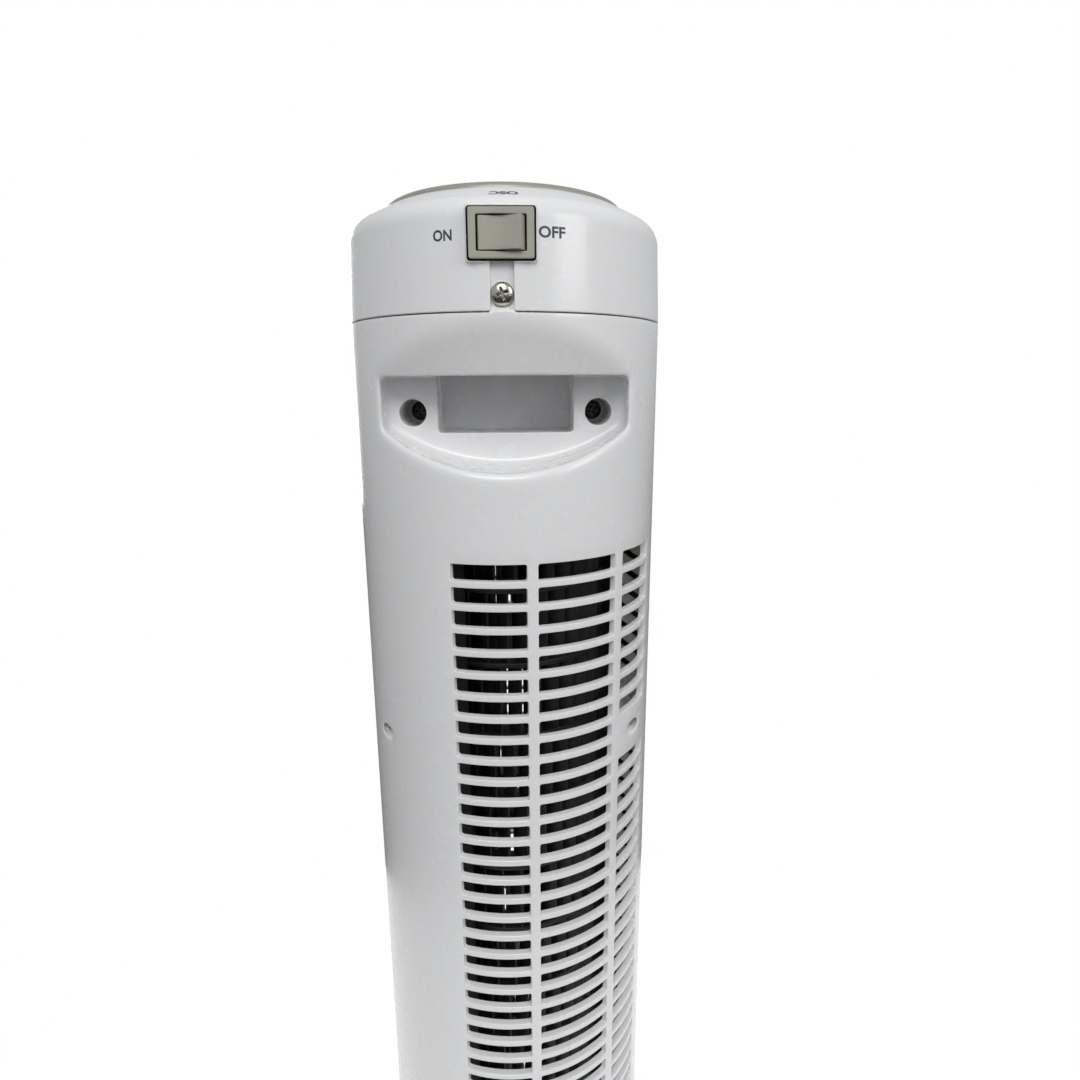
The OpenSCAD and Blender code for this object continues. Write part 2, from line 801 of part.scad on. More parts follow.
module motor_bolts() {
    color("silver") at_bolts(motor_bolt_r)
        translate([0, 0, core_bottom_z - 14]) rotate([180, 0, 0])
            screw(62, 1.6, 3, 2.2, point = false);
}

module run_capacitor() {
    color("black") difference() {
        block([-18, 46.4, 95], [18, 53, 122]);
        for (x = [-10, 10])
            translate([x, 49.6, 118]) cylinder(r = 1.5, h = 5, $fn = 32);
    }
}

// ---------- Tower foot and oscillation drive ----------

module tower_foot() {
    color("white") difference() {
        union() {
            translate([0, 0, foot_z]) cylinder(r = body_r - 0.4, h = 4.7, $fn = 180);
            tube(inner_r - 0.3, inner_r - 2.3, foot_z + 4, housing_bottom_z + 6);
            translate([0, 0, gear_top_z]) cylinder(r = pivot_r, h = foot_z - gear_top_z + 1);
        }
        translate([0, 0, gear_top_z - 1]) cylinder(r = 17.5, h = 30);
        foot_bosses(concat(foot_boss_angles_rear, foot_boss_angles_front), 1.5 + screw_clear,
            foot_z - 1, housing_bottom_z);
        foot_bosses(concat(foot_boss_angles_rear, foot_boss_angles_front), 3,
            foot_z - 1, foot_z + 2);
        foot_bosses(concat(foot_boss_angles_rear, foot_boss_angles_front), 3.7,
            housing_bottom_z - 0.2, housing_bottom_z + 10);
        gear_screw_places() translate([0, 0, gear_top_z - 1])
            cylinder(r = 1.2 + screw_clear, h = 11, $fn = 32);
    }
}

module foot_screws() {
    color("silver")
        for (a = concat(foot_boss_angles_rear, foot_boss_angles_front))
            rotate([0, 0, a]) translate([foot_boss_r, 0, foot_z + 2]) rotate([180, 0, 0])
                screw(12, 1.5, 2.7, 1.7);
}

// Involute gear outline. Angles are in degrees and the first tooth points along +X.
function involute(a) = tan(a) * 180 / PI - a;
function half_tooth_deg(r, teeth, pitch_r) =
    90 / teeth - backlash / pitch_r * 45 / PI + involute(pressure_angle)
    - involute(acos(min(1, pitch_r * cos(pressure_angle) / r)));
function tooth_points(teeth, pitch_r, flank) =
    let (root = pitch_r - 1.25 * gear_module, tip = pitch_r + 0.9 * gear_module,
        low = max(root, pitch_r * cos(pressure_angle)),
        rs = [for (i = [0 : flank]) low + (tip - low) * i / flank])
    concat(root < low ? [[root, -half_tooth_deg(low, teeth, pitch_r)]] : [],
        [for (r = rs) [r, -half_tooth_deg(r, teeth, pitch_r)]],
        [for (i = [flank : -1 : 0]) [rs[i], half_tooth_deg(rs[i], teeth, pitch_r)]],
        root < low ? [[root, half_tooth_deg(low, teeth, pitch_r)]] : []);
function turned(points, a) = [for (p = points) [p[0] * cos(p[1] + a), p[0] * sin(p[1] + a)]];
function teeth_outline(teeth, pitch_r, first, count, flank) =
    [for (k = [first : first + count - 1])
        each turned(tooth_points(teeth, pitch_r, flank), k * 360 / teeth)];

gear_screw_r = 20.5;
module gear_screw_places() {
    for (a = [30, 150, 270])
        rotate([0, 0, a]) translate([gear_screw_r, 0, 0]) children();
}

module oscillation_gear() {
    half_count = (sector_teeth - 1) / 2;
    color("ivory") difference() {
        union() {
            translate([0, 0, gear_bottom_z]) linear_extrude(gear_top_z - gear_bottom_z)
                rotate([0, 0, 90])
                    polygon(concat([[0, 0]], teeth_outline(sector_full_teeth, sector_r,
                        -half_count, sector_teeth, 3)));
            translate([0, 0, gear_bottom_z])
                cylinder(r = 28, h = gear_top_z - gear_bottom_z);
        }
        translate([0, 0, gear_bottom_z - 1]) cylinder(r = 17.5, h = 10);
        gear_screw_places() translate([0, 0, gear_bottom_z - 1])
            cylinder(r = 1.2 + screw_clear, h = 10, $fn = 32);
        gear_screw_places() translate([0, 0, gear_bottom_z - 1])
            cylinder(r = 2.5, h = 2.8, $fn = 32);
    }
}

module gear_screws() {
    color("silver") gear_screw_places() translate([0, 0, gear_bottom_z + 1.8])
        rotate([180, 0, 0]) screw(8, 1.2, 2.2, 1.4);
}

module slide_ring() {
    color("ivory") tube(52, 44, base_top_z, base_top_z + 1.2);
}

osc_shaft_r = 3.5;
module oscillation_pinion() {
    color("ivory") translate([0, osc_motor_y, gear_bottom_z - 0.5]) difference() {
        linear_extrude(gear_top_z - gear_bottom_z + 1)
            rotate([0, 0, 270 + 180 / pinion_teeth])
                polygon(teeth_outline(pinion_teeth, pinion_r, 0, pinion_teeth, 4));
        translate([0, 0, -1]) cylinder(r = osc_shaft_r, h = 10);
    }
}

module oscillation_motor_shaft() {
    color("silver") translate([0, osc_motor_y, 13]) cylinder(r = osc_shaft_r, h = 17.5);
}

osc_motor_top_z = 22.3;
osc_ear_x = 29.5;
module oscillation_motor() {
    color("silver") translate([0, osc_motor_y, 0]) difference() {
        union() {
            translate([0, 0, 7.5]) cylinder(r = 25, h = osc_motor_top_z - 7.5);
            translate([0, 0, osc_motor_top_z - 1]) cylinder(r = 6, h = 2.4);
            block([-osc_ear_x, -4, osc_motor_top_z - 1.2], [osc_ear_x, 4, osc_motor_top_z]);
            for (x = [-osc_ear_x, osc_ear_x])
                translate([x, 0, osc_motor_top_z - 1.2]) cylinder(r = 4, h = 1.2, $fn = 48);
        }
        translate([0, 0, 12]) cylinder(r = osc_shaft_r + run_gap, h = 20);
        for (x = [-osc_ear_x, osc_ear_x])
            translate([x, 0, 10]) cylinder(r = 1.7, h = 20, $fn = 32);
    }
}

module oscillation_motor_screws() {
    color("silver")
        for (x = [-osc_ear_x, osc_ear_x])
            translate([x, osc_motor_y, osc_motor_top_z]) screw(9, 1.5, 2.7, 1.7);
}

// ---------- Base ----------

dome_r = 77;
dome_edge_z = 3.5;
module dome_section(t) {
    square([plateau_r, base_top_z - t]);
    intersection() {
        translate([plateau_r, base_top_z - dome_r]) circle(r = dome_r - t, $fn = 180);
        translate([plateau_r - eps, 0]) square([base_r - t - plateau_r, base_top_z]);
    }
}

base_boss_r = 100;
base_boss_angles = [0, 70, 110, 180, 270];
foot_pad_angles = [38, 142, 218, 322];
module at_base_bosses() {
    for (a = base_boss_angles)
        rotate([0, 0, a]) translate([base_boss_r, 0, 0]) children();
}

// Cord inlet at the rear of the base
gland_z = 9;
gland_r = 4.2;
gland_flange_y = base_r - 14;
module base_top() {
    color("white") difference() {
        union() {
            rotate_extrude($fn = 180) difference() {
                dome_section(0);
                dome_section(wall);
                square([base_r + 1, dome_edge_z]);
            }
            tube(pivot_bore_r + 3, pivot_bore_r, gear_top_z + 0.3, base_top_z);
            intersection() {
                at_base_bosses() translate([0, 0, 5.8]) cylinder(r = 4, h = 30, $fn = 48);
                rotate_extrude($fn = 180) dome_section(1);
            }
        }
        translate([0, 0, 20]) cylinder(r = pivot_bore_r, h = 30);
        at_base_bosses() translate([0, 0, 4]) cylinder(r = 1.75 + screw_clear, h = 12, $fn = 32);
        rod_y(0, gland_z, base_r - 10, base_r + 2, gland_r + screw_clear);
        block([-gland_r - screw_clear, base_r - 10, 0],
            [gland_r + screw_clear, base_r + 2, gland_z]);
    }
}

module base_bottom() {
    color("white") difference() {
        union() {
            translate([0, 0, 3]) cylinder(r = base_r - wall - 0.5, h = 2.5, $fn = 180);
            for (x = [-osc_ear_x, osc_ear_x])
                translate([x, osc_motor_y, 5]) cylinder(r = 4, h = osc_motor_top_z - 6.2, $fn = 48);
        }
        for (x = [-osc_ear_x, osc_ear_x])
            translate([x, osc_motor_y, 8]) cylinder(r = 1.5 + screw_clear, h = 20, $fn = 32);
        at_base_bosses() translate([0, 0, 2]) cylinder(r = 2, h = 5, $fn = 32);
        at_base_bosses() translate([0, 0, 2]) cylinder(r = 3.8, h = 2.2, $fn = 32);
        block([-6.2, base_r - 18, 0], [6.2, base_r + 2, 8]);
    }
}

module base_screws() {
    color("silver") at_base_bosses()
        translate([0, 0, 4.2]) rotate([180, 0, 0]) screw(9, 1.75, 3.3, 1.8);
}

module rubber_feet() {
    color("dimgray")
        for (a = foot_pad_angles)
            rotate([0, 0, a]) translate([foot_pad_r, 0, 0]) {
                cylinder(r1 = 7.2, r2 = 8, h = 1, $fn = 48);
                translate([0, 0, 1 - eps]) cylinder(r = 8, h = 2 + eps, $fn = 48);
            }
}

// Bush in the rear of the base through which the mains lead enters
module cord_gland() {
    color("dimgray") difference() {
        union() {
            rod_y(0, gland_z, base_r - 17, base_r - 2.5, gland_r);
            rod_y(0, gland_z, gland_flange_y, gland_flange_y + 2, gland_r + 1.6);
        }
        rod_y(0, gland_z, base_r - 18, base_r, 2.9);
    }
}

rear_housing();
front_housing();
front_grille();
top_cap();
control_panel();
speed_knob();
speed_shaft();
speed_switch();
timer_knob();
timer_shaft();
timer_unit();
control_screws();
osc_switch_body();
osc_rocker();
cap_screw();
handle_screws();
side_screws();
impeller();
impeller_hub();
hub_set_screw();
impeller_top_pin();
top_bearing();
bearing_mount();
bearing_bracket();
air_guide();
air_tongue();
guard_comb();
motor_plate();
motor_stator();
motor_windings();
motor_rotor();
motor_shaft();
motor_upper_cover();
motor_lower_cover();
motor_bushes();
motor_bolts();
run_capacitor();
tower_foot();
foot_screws();
oscillation_gear();
gear_screws();
slide_ring();
base_top();
base_bottom();
base_screws();
rubber_feet();
oscillation_motor();
oscillation_motor_screws();
oscillation_motor_shaft();
oscillation_pinion();
cord_gland();
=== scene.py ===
"""Looks of the oscillating tower fan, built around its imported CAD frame.

Lengths inside the shape code are in millimetres, in the frame's axes: +Z up, +Y the rear with
the intake grille, and -X on the right of somebody who stands behind the fan. "turn" is the
angle round the tower in degrees, zero at the middle of the rear and positive towards -X.
"""

import json
import math

import bmesh
import bpy
import numpy as np
from mathutils import Matrix, Vector
from mathutils.geometry import delaunay_2d_cdt


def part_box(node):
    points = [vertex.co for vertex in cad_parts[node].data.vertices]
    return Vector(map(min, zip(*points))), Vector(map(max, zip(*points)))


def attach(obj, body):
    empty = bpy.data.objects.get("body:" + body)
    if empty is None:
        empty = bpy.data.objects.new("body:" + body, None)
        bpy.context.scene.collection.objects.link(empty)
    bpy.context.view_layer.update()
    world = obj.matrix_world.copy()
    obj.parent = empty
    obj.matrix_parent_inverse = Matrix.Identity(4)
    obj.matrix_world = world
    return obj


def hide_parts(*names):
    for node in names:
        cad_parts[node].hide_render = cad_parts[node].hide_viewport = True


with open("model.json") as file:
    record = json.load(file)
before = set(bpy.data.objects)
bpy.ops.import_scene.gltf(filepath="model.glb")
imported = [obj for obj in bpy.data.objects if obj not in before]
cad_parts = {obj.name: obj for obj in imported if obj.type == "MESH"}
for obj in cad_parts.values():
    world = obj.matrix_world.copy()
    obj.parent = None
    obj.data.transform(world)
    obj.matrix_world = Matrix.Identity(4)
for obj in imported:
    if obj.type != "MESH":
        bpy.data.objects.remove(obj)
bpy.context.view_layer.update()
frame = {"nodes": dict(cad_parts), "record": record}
nodes = frame["nodes"]
MM = 0.001


# ---------- Sizes, read from the frame where a node gives them ----------

def corner(node, which):
    """Low (0) or high (1) corner of a node's box, in millimetres."""
    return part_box(node)[which] / MM


BODY_R = corner("rear_housing", 1).y
WALL = 2.5
INNER_R = BODY_R - WALL
HOUSING_Z0 = corner("rear_housing", 0).z
CAP_Z0 = corner("top_cap", 0).z
CAP_Z1 = corner("top_cap", 1).z
SEAM = 0.4
HOUSING_Z1 = CAP_Z0 - SEAM
SEAM_Z = CAP_Z0 - SEAM / 2
SEAM_TURN = 90 - math.degrees(SEAM / 2 / BODY_R)
TONGUE_Z1 = corner("rear_housing", 1).z + 0.3
TONGUE_HALF_W = 4.25
TONGUE_DROP = 2.0
TONGUE_BEND_H = 2.2
EDGE = 0.45

LIP_Z = SEAM_Z - 19.3
SCOOP_TILT = math.radians(27)
SCOOP_R = 104.5
LIP_Y = BODY_R - 8
SCOOP_AXIS_Y = LIP_Y - SCOOP_R / math.cos(SCOOP_TILT)
SCOOP_BLEND = 2.0
RECESS_HALF_W = 43.4
RECESS_Z0 = LIP_Z - 32
RECESS_ARC_R = 75
RECESS_BACK_Y = 30
POCKET_HALF_W = 24.9
POCKET_Z0 = LIP_Z - 20.3
POCKET_Z1 = LIP_Z + 12.5
POCKET_BACK_Y = 8
POCKET_FRONT_Y = 44
HANDLE_X = 34
HANDLE_Z = LIP_Z - 12.9
HANDLE_HOLE_R = 4.9
HANDLE_SEAT_Y = 8

FINE_HALF_W = 66
FINE_Z0 = 642
SLOT_ROWS = 55
SLOT_PITCH = 8.45
SLOT_H = 6
SLOT_TOP_Z = SEAM_Z - 82.4
COLUMNS = ((-19.3, 6.65), (10.4, 41), (45.05, 64.6))
PATCH_ROWS = (8, 9, 38, 39)
SIDE_X = 49
SIDE_SPOTS = [(x, SLOT_TOP_Z - (row + 1) * SLOT_PITCH + (SLOT_PITCH - SLOT_H) / 2)
    for x in (-SIDE_X, SIDE_X) for row in (8, 38)]
SIDE_HOLE_R = 2.75
SIDE_SEAT_Y = 16
SIDE_BOSS_R = 3.8
FOOT_BOSS_R = 54.4

SHOULDER_R = 8.5
SHOULDER_FALL = math.radians(28)
CAP_DRAFT = 1.1
PANEL_R = corner("control_panel", 1).x
PANEL_GAP = 0.2
PANEL_Z1 = CAP_Z1 + 2.1
PANEL_EDGE = 2.4
PANEL_SEAT_Z = CAP_Z1 - 2.5
SWITCH_Z = SEAM_Z + 22.8
BEZEL_HALF_W = 10.15
BEZEL_HALF_H = 7.35
ROCKER_AXIS_Y = BODY_R - 1.5
CAP_SCREW_Z = SEAM_Z + 5.4
DIAL_X = 20
DIAL_Y = -14
KNOB_Z0 = PANEL_Z1 + 0.3
KNOB_H = corner("speed_knob", 1).z - KNOB_Z0
LABEL_T = 0.05
LABEL_SUNK = 0.03

OUTLET_TURN = 46
OUTLET_Z0 = 165
OUTLET_Z1 = 627
IMPELLER_Z0 = 157.5
IMPELLER_Z1 = corner("impeller", 1).z
IMPELLER_R = 39.5
SEGMENTS = 15
TOP_SEGMENT_H = 13.5
DISC_T = 2
BLADES = 32

BASE_R = corner("base_top", 1).x
BASE_Z1 = corner("base_top", 1).z
PLATEAU_R = 62
DOME_R = 77
DOME_EDGE_Z = 3.5
PIVOT_BORE_R = 23.58
GLAND_Z = 9
GLAND_R = 4.25


# ---------- Mesh tools ----------

class Solid:
    """Vertices and faces of a mesh while it is being put together."""

    def __init__(self):
        self.points = []
        self.count = 0
        self.faces = []

    def add(self, points):
        """Adds points and returns their numbers."""
        points = np.asarray(points, float).reshape(-1, 3)
        self.points.append(points)
        self.count += len(points)
        return np.arange(self.count - len(points), self.count)

    def strip(self, ring_a, ring_b):
        """Quads between two closed rings of equal length."""
        self.faces += zip(ring_a, np.roll(ring_a, -1), np.roll(ring_b, -1), ring_b)

    def loft(self, rings):
        """Adds and joins closed rings of points, and returns the numbers of each."""
        ids = [self.add(ring) for ring in rings]
        for a, b in zip(ids, ids[1:]):
            self.strip(a, b)
        return ids

    def fill(self, ring):
        self.faces.append(tuple(ring))

    def capped(self, rings):
        """Joins closed rings, and closes both ends."""
        ids = self.loft(rings)
        self.fill(ids[0])
        self.fill(ids[-1][::-1])

    def object(self, name, weld=0.0005, recalc=True):
        mesh = bpy.data.meshes.new(name)
        points = np.concatenate(self.points) * MM
        mesh.from_pydata(points.tolist(), [], [[int(i) for i in face] for face in self.faces])
        return finish_mesh(mesh, name, weld, recalc)


def linked(name, data):
    """A new object in the scene."""
    obj = bpy.data.objects.new(name, data)
    bpy.context.scene.collection.objects.link(obj)
    return obj


def shade(mesh, sharp=32):
    """Smooth shading, but for edges sharper than an angle in degrees."""
    mesh.polygons.foreach_set("use_smooth", [True] * len(mesh.polygons))
    mesh.set_sharp_from_angle(angle=math.radians(sharp))


def finish_mesh(mesh, name, weld=0.0005, recalc=True, sharp=32):
    """Welds a mesh, turns its faces outward, shades it and returns its object."""
    bm = bmesh.new()
    bm.from_mesh(mesh)
    if weld:
        bmesh.ops.remove_doubles(bm, verts=bm.verts, dist=weld * MM)
    if recalc:
        bmesh.ops.recalc_face_normals(bm, faces=bm.faces)
    bm.to_mesh(mesh)
    bm.free()
    shade(mesh, sharp)
    return linked(name, mesh)


def merge(obj, *others):
    """Adds the meshes of other objects, which are used up, to an object's mesh."""
    bm = bmesh.new()
    for part in (obj, *others):
        bm.from_mesh(part.data)
    bm.to_mesh(obj.data)
    bm.free()
    for part in others:
        bpy.data.objects.remove(part)
    return obj


def evaluated_mesh(obj):
    result = obj.evaluated_get(bpy.context.evaluated_depsgraph_get())
    return bpy.data.meshes.new_from_object(result)


def modify(obj, kind, **settings):
    """Puts a modifier on an object and applies it."""
    modifier = obj.modifiers.new(kind, kind)
    for name, value in settings.items():
        setattr(modifier, name, value)
    mesh = evaluated_mesh(obj)
    obj.modifiers.clear()
    obj.data = mesh
    return obj


def weigh_normals(obj):
    """Lets the large faces beside a rounded edge keep their own shading."""
    return modify(obj, "WEIGHTED_NORMAL", keep_sharp=True)


def combine(obj, other, operation="DIFFERENCE"):
    """Cuts an object with another one, which is used up, or joins them."""
    modify(obj, "BOOLEAN", operation=operation, solver="EXACT", object=other)
    bpy.data.objects.remove(other)
    return obj


def soften(obj, width, angle=30, where=None, segments=3, flatten=0.3):
    """Rounds the sharp edges of an object, or those whose middle is where they should be."""
    bm = bmesh.new()
    bm.from_mesh(obj.data)
    bmesh.ops.remove_doubles(bm, verts=bm.verts, dist=0.004 * MM)
    if flatten:
        bmesh.ops.dissolve_limit(bm, angle_limit=math.radians(flatten), verts=bm.verts, edges=bm.edges)
    edges = []
    for e in bm.edges:
        middle = (e.verts[0].co + e.verts[1].co) / (2 * MM)
        if e.is_manifold and e.calc_face_angle() > math.radians(angle) and (not where or where(middle)):
            edges.append(e)
    bmesh.ops.bevel(bm, geom=edges, offset=width * MM, offset_type="OFFSET", segments=segments,
        profile=0.5, affect="EDGES", clamp_overlap=False)
    bmesh.ops.remove_doubles(bm, verts=bm.verts, dist=0.002 * MM)
    bm.to_mesh(obj.data)
    bm.free()
    shade(obj.data)
    return obj


# ---------- Outlines and solids ----------

def bend(start, control, end, steps):
    """Points of a soft corner from start to end, drawn to control. Each is an array of points."""
    return [(1 - t) ** 2 * start + 2 * t * (1 - t) * control + t * t * end
        for t in (i / steps for i in range(steps + 1))]


def unit(vectors):
    return vectors / np.linalg.norm(vectors, axis=1, keepdims=True)


def offset_loop(loop, distance):
    """A closed flat loop moved outward by distance, which may differ from point to point."""
    ahead = unit(np.roll(loop, -1, 0) - loop)
    along = unit(ahead + np.roll(ahead, 1, 0))
    normal = np.stack([along[:, 1], -along[:, 0]], 1)
    stretch = np.clip((ahead * along).sum(1), 0.5, 1)
    area = np.sum(loop[:, 0] * np.roll(loop[:, 1], -1) - np.roll(loop[:, 0], -1) * loop[:, 1])
    return loop + normal * (distance / stretch * math.copysign(1, area))[:, None]


def inside(points, loop, margin=0.0):
    """Which points lie inside a closed flat loop that has grown by a margin."""
    if margin:
        loop = offset_loop(loop, margin)
    near = ((points > loop.min(0)) & (points < loop.max(0))).all(1)
    x, y = points[near].T
    hit = np.zeros(len(x), bool)
    for (x0, y0), (x1, y1) in zip(loop, np.roll(loop, -1, 0)):
        crosses = (y0 > y) != (y1 > y)
        if y0 != y1:
            hit ^= crosses & (x < (x1 - x0) * (y - y0) / (y1 - y0) + x0)
    near[near] = hit
    return near


def skin(solid, surface, border, holes, grid):
    """Triangles over a flat region between its border and holes, put on a surface.

    border and holes are pairs of a flat loop and the numbers of its points in the solid. surface
    turns flat points into solid ones.
    """
    loops = [border] + holes
    grid = grid[inside(grid, border[0], -0.35)]
    for loop, _ in holes:
        grid = grid[~inside(grid, loop, 0.4)]
    flat = np.concatenate([loop for loop, _ in loops] + [grid])
    ids = np.concatenate([numbers for _, numbers in loops] + [solid.add(surface(grid))])
    edges, first = [], 0
    for loop, _ in loops:
        at = np.arange(first, first + len(loop))
        edges += zip(at.tolist(), np.roll(at, -1).tolist())
        first += len(loop)
    out = delaunay_2d_cdt([Vector(p) for p in flat], edges, [], 0, 1e-6)
    source = [group[0] if group else -1 for group in out[3]]
    triangles = np.array(out[2])
    places = np.array([tuple(v) for v in out[0]])
    middle = places[triangles].mean(1)
    keep = inside(middle, border[0])
    for loop, _ in holes:
        keep &= ~inside(middle, loop)
    for a, b, c in triangles[keep]:
        solid.faces.append((ids[source[a]], ids[source[b]], ids[source[c]]))


def rolled_edge(solid, surface, wide, loop, drop, steps=3):
    """Goes over a soft edge from a wide outline on a surface to the wall's other side."""
    return solid.loft(bend(surface(wide), surface(loop), surface(loop, drop), steps) + [surface(loop, WALL)])


def divided(corners, steps):
    """Points along straight sides from corner to corner, without the last corner."""
    out = []
    for (x0, y0), (x1, y1), n in zip(corners, corners[1:], steps):
        out += [(x0 + (x1 - x0) * k / n, y0 + (y1 - y0) * k / n) for k in range(n)]
    return out


def rounded_loop(x0, x1, y0, y1, radius, step_x, step_y, arc_steps=3):
    """A rectangle with round corners and divided sides, as a counter-clockwise loop."""
    nx = max(1, round((x1 - x0 - 2 * radius) / step_x))
    ny = max(1, round((y1 - y0 - 2 * radius) / step_y))
    corners = [(x1 - radius, y0 + radius, -90), (x1 - radius, y1 - radius, 0),
        (x0 + radius, y1 - radius, 90), (x0 + radius, y0 + radius, 180)]
    loop = []
    for k, (cx, cy, start) in enumerate(corners):
        loop += arc(cx, cy, radius, start, start + 90, arc_steps)
        after = arc(*corners[(k + 1) % 4][:2], radius, start + 90, start + 90, 0)
        loop += divided([loop[-1]] + after, [nx if k % 2 else ny])[1:]
    return np.array(loop)


def grid_points(across, up):
    return np.stack(np.meshgrid(across, up), -1).reshape(-1, 2)


def circle_loop(cx, cy, radius, steps):
    a = np.arange(steps) * 2 * math.pi / steps
    return np.stack([cx + radius * np.cos(a), cy + radius * np.sin(a)], 1)


def arc(cx, cy, radius, start, end, steps):
    """Points along an arc, between two angles in degrees."""
    a = np.radians(np.linspace(start, end, steps + 1))
    return [(cx + radius * math.cos(t), cy + radius * math.sin(t)) for t in a]


def rounded(points, radius, steps=4):
    """A closed outline with its corners rounded, by one radius or by one for each corner."""
    corners = [Vector(p) for p in points]
    radii = [radius] * len(corners) if np.ndim(radius) == 0 else radius
    out = []
    for k, (corner_point, r) in enumerate(zip(corners, radii)):
        back = corners[k - 1] - corner_point
        ahead = corners[(k + 1) % len(corners)] - corner_point
        if r <= 0 or back.length * ahead.length < 1e-9:
            out.append(tuple(corner_point))
            continue
        half = back.angle(ahead) / 2
        cut = min(r / math.tan(half), back.length * 0.49, ahead.length * 0.49)
        r = cut * math.tan(half)
        centre = corner_point + (back.normalized() + ahead.normalized()).normalized() * r / math.sin(half)
        first = corner_point + back.normalized() * cut - centre
        last = corner_point + ahead.normalized() * cut - centre
        a0 = math.atan2(first.y, first.x)
        sweep = (math.atan2(last.y, last.x) - a0 + math.pi) % (2 * math.pi) - math.pi
        out += arc(*centre, r, math.degrees(a0), math.degrees(a0 + sweep), steps)
    return np.array(out)


def box_loop(x0, x1, y0, y1, radius, steps=4):
    return rounded([(x0, y0), (x1, y0), (x1, y1), (x0, y1)], radius, steps)


def at_height(loop, z):
    """A flat loop laid level at a height."""
    return np.column_stack([loop, np.full(len(loop), z)])


def around_tower(r, a, z):
    """Points at radii r, angles a in radians and heights z."""
    return np.stack([r * np.cos(a), r * np.sin(a), z], 1)


def lathe(solid, profile, steps=192, x=0.0, y=0.0, radius_wave=None):
    """A closed profile of radius and height turned round an upright axis at x, y."""
    profile = np.asarray(profile, float)
    rings = []
    for i in range(steps):
        a = 2 * math.pi * i / steps
        r = profile[:, 0] * (1 if radius_wave is None else radius_wave(profile, a))
        rings.append(around_tower(r, a, profile[:, 1]) + (x, y, 0))
    ids = solid.loft(rings)
    solid.strip(ids[-1], ids[0])
    return solid


def sweep_arc(solid, section, start, end, steps):
    """A closed section of radius and height swept round the tower between two angles."""
    section = np.asarray(section, float)
    solid.capped([around_tower(section[:, 0], a, section[:, 1])
        for a in np.radians(np.linspace(start, end, steps + 1))])


def upright(u, v, w):
    return u, v, w


def along_y(u, v, w):
    return u, w, v


def prism(solid, loop, low, high, edge=0.3, place=upright, steps=3):
    """A closed flat loop pushed from low to high, with soft edges at both ends."""
    levels = [(-edge * (1 - math.sin(a)), low + edge * (1 - math.cos(a)))
        for a in np.linspace(0, math.pi / 2, steps + 1)] if edge else [(0, low)]
    levels += [(inset, high - (height - low)) for inset, height in reversed(levels)]
    rings = []
    for inset, w in levels:
        flat = offset_loop(loop, inset) if inset else loop
        rings.append(np.stack(place(flat[:, 0], flat[:, 1], np.full(len(flat), w)), 1))
    solid.capped(rings)
    return solid


def cylinder(x, y, radius, low, high, steps=32, place=upright):
    return prism(Solid(), circle_loop(x, y, radius, steps), low, high, 0, place).object("cylinder")


def box_object(half_w, depths, heights, radius, edge=0.0):
    """A box with round corners as seen from the rear, between two depths and two heights."""
    return prism(Solid(), box_loop(-half_w, half_w, *heights, radius), *depths, edge, along_y).object("box")


# ---------- Materials ----------

def map_range(tree, value, low, high, to_low, to_high):
    """Maps a node's output from low..high to to_low..to_high."""
    node = tree.nodes.new("ShaderNodeMapRange")
    for name, number in zip(("From Min", "From Max", "To Min", "To Max"), (low, high, to_low, to_high)):
        node.inputs[name].default_value = number
    tree.links.new(value, node.inputs["Value"])
    return node.outputs["Result"]


FINISHES = {}


